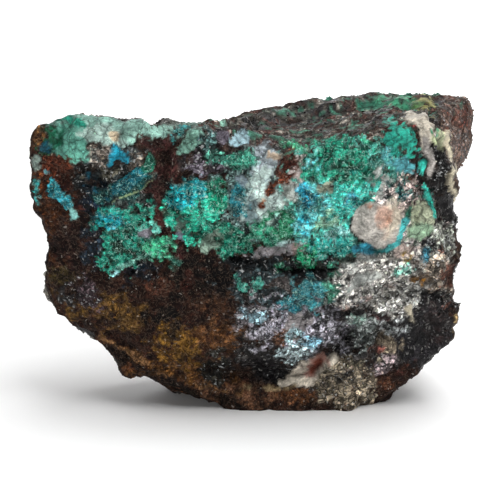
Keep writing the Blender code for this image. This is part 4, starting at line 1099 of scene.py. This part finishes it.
    # Painted glints and highlights: grey threads and flecks on the oxide.
    oxide = painted_glints(oxide, thread, "625f62", (0.475, 0.0), (0.5, 0.3), (0.525, 0.0))
    oxide = painted_glints(oxide, speck_other, "9a9894", (0.93, 0.0), (0.97, 0.35))
    smooth = toned(tint, cloud, (0.34, 0.45), (0.5, 0.98), (0.66, 1.35))
    smooth = toned(smooth, plumes, (0.36, 0.72), (0.64, 1.22))
    smooth = covered(smooth, seams_show, toned(smooth, clast_seam, (0.0, 0.30), (0.035, 0.65), (0.10, 1.0)))
    smooth = toned(smooth, speck_random, (0.0, 0.75), (1.0, 1.22))

    # Dull earth carries the others, each glossier than it by its own change of roughness.
    colour, roughness = earth, 0.8
    for share, other, change in zip(shares, (crust, druse, oxide, smooth), (-0.18, -0.42, -0.5, -0.4)):
        colour = covered(colour, share, other)
        roughness = add(tree, "ShaderNodeMath", {0: share, 1: change, 2: roughness}, operation="MULTIPLY_ADD")
    tree.links.new(colour, shader.inputs["Base Color"])
    tree.links.new(roughness, shader.inputs["Roughness"])
    shader.inputs["Specular IOR Level"].default_value = 0.12

    grain_depth = add(tree, "ShaderNodeMath", {0: druse_share, 1: 0.25}, operation="ADD")
    relief = add(tree, "ShaderNodeMath", {0: grain, 1: grain_depth}, operation="MULTIPLY")
    relief = add(tree, "ShaderNodeMath", {0: strands, 1: 0.8, 2: relief}, operation="MULTIPLY_ADD")
    bump = add(tree, "ShaderNodeBump", {"Height": relief, "Distance": 0.36 * MM, "Strength": 0.9})
    tree.links.new(bump, shader.inputs["Normal"])
    return material


def grain_material(name, roughness, specular):
    """Loose-looking grains of the minerals they sit on, each in its own tint."""
    material, tree, shader = new_material(name)
    tint = add(tree, "ShaderNodeAttribute", {}, "Color", attribute_name="tint")
    tree.links.new(tint, shader.inputs["Base Color"])
    shader.inputs["Roughness"].default_value = roughness
    shader.inputs["Specular IOR Level"].default_value = specular
    return material


# ---- Stage ------------------------------------------------------------------------------------------------------


def make_floor():
    """A wide plain floor whose far side sweeps up into a backdrop: a quarter round between two flats.

    It glows away from the specimen, as paper does under a studio's own lamps, so that it stays white to the edge.
    """
    half_width, near, start, radius, top = 2.2, -3.0, 0.55, 0.5, 1.4
    turn = np.linspace(0, np.pi / 2, 13)
    profile = [(near, 0.0)] + [(start + radius * np.sin(a), radius * (1 - np.cos(a))) for a in turn]
    profile = np.array(profile + [(start + radius, top)])
    count = len(profile)
    points = np.array([(x, y, z) for x in (-half_width, half_width) for y, z in profile]) / MM
    first = np.arange(count - 1)
    quads = np.stack([first, first + count, first + count + 1, first, first + count + 1, first + 1], axis=-1)
    floor = mesh_piece("floor", points, quads.reshape(-1, 3), True, {})
    material, tree, shader = new_material("matt_white_paper")
    shader.inputs["Base Color"].default_value = (*linear("fafafa"), 1)
    shader.inputs["Roughness"].default_value = 0.9
    shader.inputs["Specular IOR Level"].default_value = 0.1
    place = add(tree, "ShaderNodeTexCoord", {}, "Object")
    distance = add(tree, "ShaderNodeVectorMath", {0: place}, "Value", operation="LENGTH")
    glow = add(tree, "ShaderNodeValToRGB", {0: distance}, stops=((0.25, 0.0), (0.8, 1.0)))
    tree.links.new(glow, shader.inputs["Emission Color"])
    shader.inputs["Emission Strength"].default_value = 1.0
    floor.data.materials.append(material)


def soft_light(name, place, aim, width, height, power):
    """A soft box of this width and height at a place, aimed at another."""
    lamp = bpy.data.lights.new(name, "AREA")
    lamp.shape = "RECTANGLE"
    lamp.size = width
    lamp.size_y = height
    lamp.energy = power
    holder = bpy.data.objects.new(name, lamp)
    holder.location = place
    holder.rotation_euler = (Vector(aim) - Vector(place)).to_track_quat("-Z", "Y").to_euler()
    bpy.context.scene.collection.objects.link(holder)


def make_lights():
    """Two soft boxes overhead, a weak one to the right, a low wide one in front and a dim white room.

    The overhead pair, one a little in front of the specimen and one a little behind, lays its shadow down to the
    left and keeps the floor under it dark; the low one fills the show face and hardly touches the floor.
    """
    specimen = (0, 0, 0.03)
    soft_light("overhead front", (0.27, -0.36, 0.75), specimen, 0.50, 0.50, 4.3)
    soft_light("overhead back", (0.12, 0.08, 0.86), specimen, 0.50, 0.50, 4.2)
    soft_light("right", (0.65, -0.10, 0.45), specimen, 0.50, 0.50, 0.4)
    soft_light("front", (0.10, -1.0, 0.12), specimen, 0.60, 0.22, 3.7)
    world = bpy.data.worlds.new("studio")
    world.use_nodes = True
    world.node_tree.nodes["Background"].inputs["Color"].default_value = (1, 1, 1, 1)
    world.node_tree.nodes["Background"].inputs["Strength"].default_value = 0.05
    bpy.context.scene.world = world


def make_camera():
    """The eye of the drawing plane: 135 mm lens, so that 100 mm of that plane fill the width of the picture."""
    camera = bpy.data.cameras.new("camera")
    camera.lens = 135
    camera.sensor_width = 36
    holder = bpy.data.objects.new("camera", camera)
    ahead = Vector((0, np.cos(EYE_TILT), -np.sin(EYE_TILT)))
    holder.location = Vector(EYE_AIM * MM) - EYE_DISTANCE * MM * ahead
    holder.rotation_euler = ahead.to_track_quat("-Z", "Y").to_euler()
    bpy.context.scene.collection.objects.link(holder)
    bpy.context.scene.camera = holder


def make_grains(surface, habit):
    """Crystals in the druse, crumbs and fibres in the crust, granules in the earth and chips on the oxide."""
    # Quartz breaks glassy, so each grain can catch a sharp glint.
    glassy = grain_material("quartz_grains", 0.22, 0.4)
    # Iron oxide is earthy: grains only dapple the ground light and dark.
    dull = grain_material("iron_oxide_granules", 0.7, 0.1)
    # Chrysocolla is waxy: crumbs and fibres shine a little, so the crust looks moist.
    crusty = grain_material("chrysocolla_crumbs", 0.45, 0.2)
    crystal, chip, fibre = crystal_template(), chip_template(), fibre_template()
    kinds = (
        ("quartz_crystals", crystal, habit[:, DRUSE], 6500, (0.10, 0.34), (0.10, 0.30), 0.5, (0.5, 2.2), glassy),
        ("crust_crumbs", chip, habit[:, MOSS], 7000, (0.10, 0.30), (0.05, 0.16), 0.2, (0.55, 1.8), crusty),
        ("crust_fibres", fibre, habit[:, MOSS], 9000, (0.04, 0.08), (0.25, 0.6), 5.0, (0.4, 2.2), crusty),
        ("earth_granules", chip, habit[:, EARTH], 9500, (0.12, 0.42), (0.04, 0.13), 0.15, (0.4, 2.6), dull),
        ("oxide_chips", chip, habit[:, GLOSS], 2500, (0.14, 0.50), (0.05, 0.18), 0.4, (0.7, 2.6), glassy),
        ("quartz_chips", chip, habit[:, WAX], 3000, (0.08, 0.26), (0.03, 0.10), 0.2, (0.6, 1.5), glassy),
    )
    pieces = []
    for seed, (name, template, weight, count, widths, heights, lean, brightness, material) in enumerate(kinds):
        piece = scatter(name, template, surface, weight, count, widths, heights, lean, brightness, seed)
        piece.data.materials.append(material)
        pieces.append(piece)
    return pieces


def main():
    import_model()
    bpy.context.scene.view_settings.view_transform = "Standard"
    make_camera()
    make_lights()
    make_floor()

    rock, surface, habit = make_rock()
    rock.data.materials.append(rock_material())
    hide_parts(NODE)
    for piece in (rock, *make_grains(surface, habit)):
        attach(piece, "root")


main()
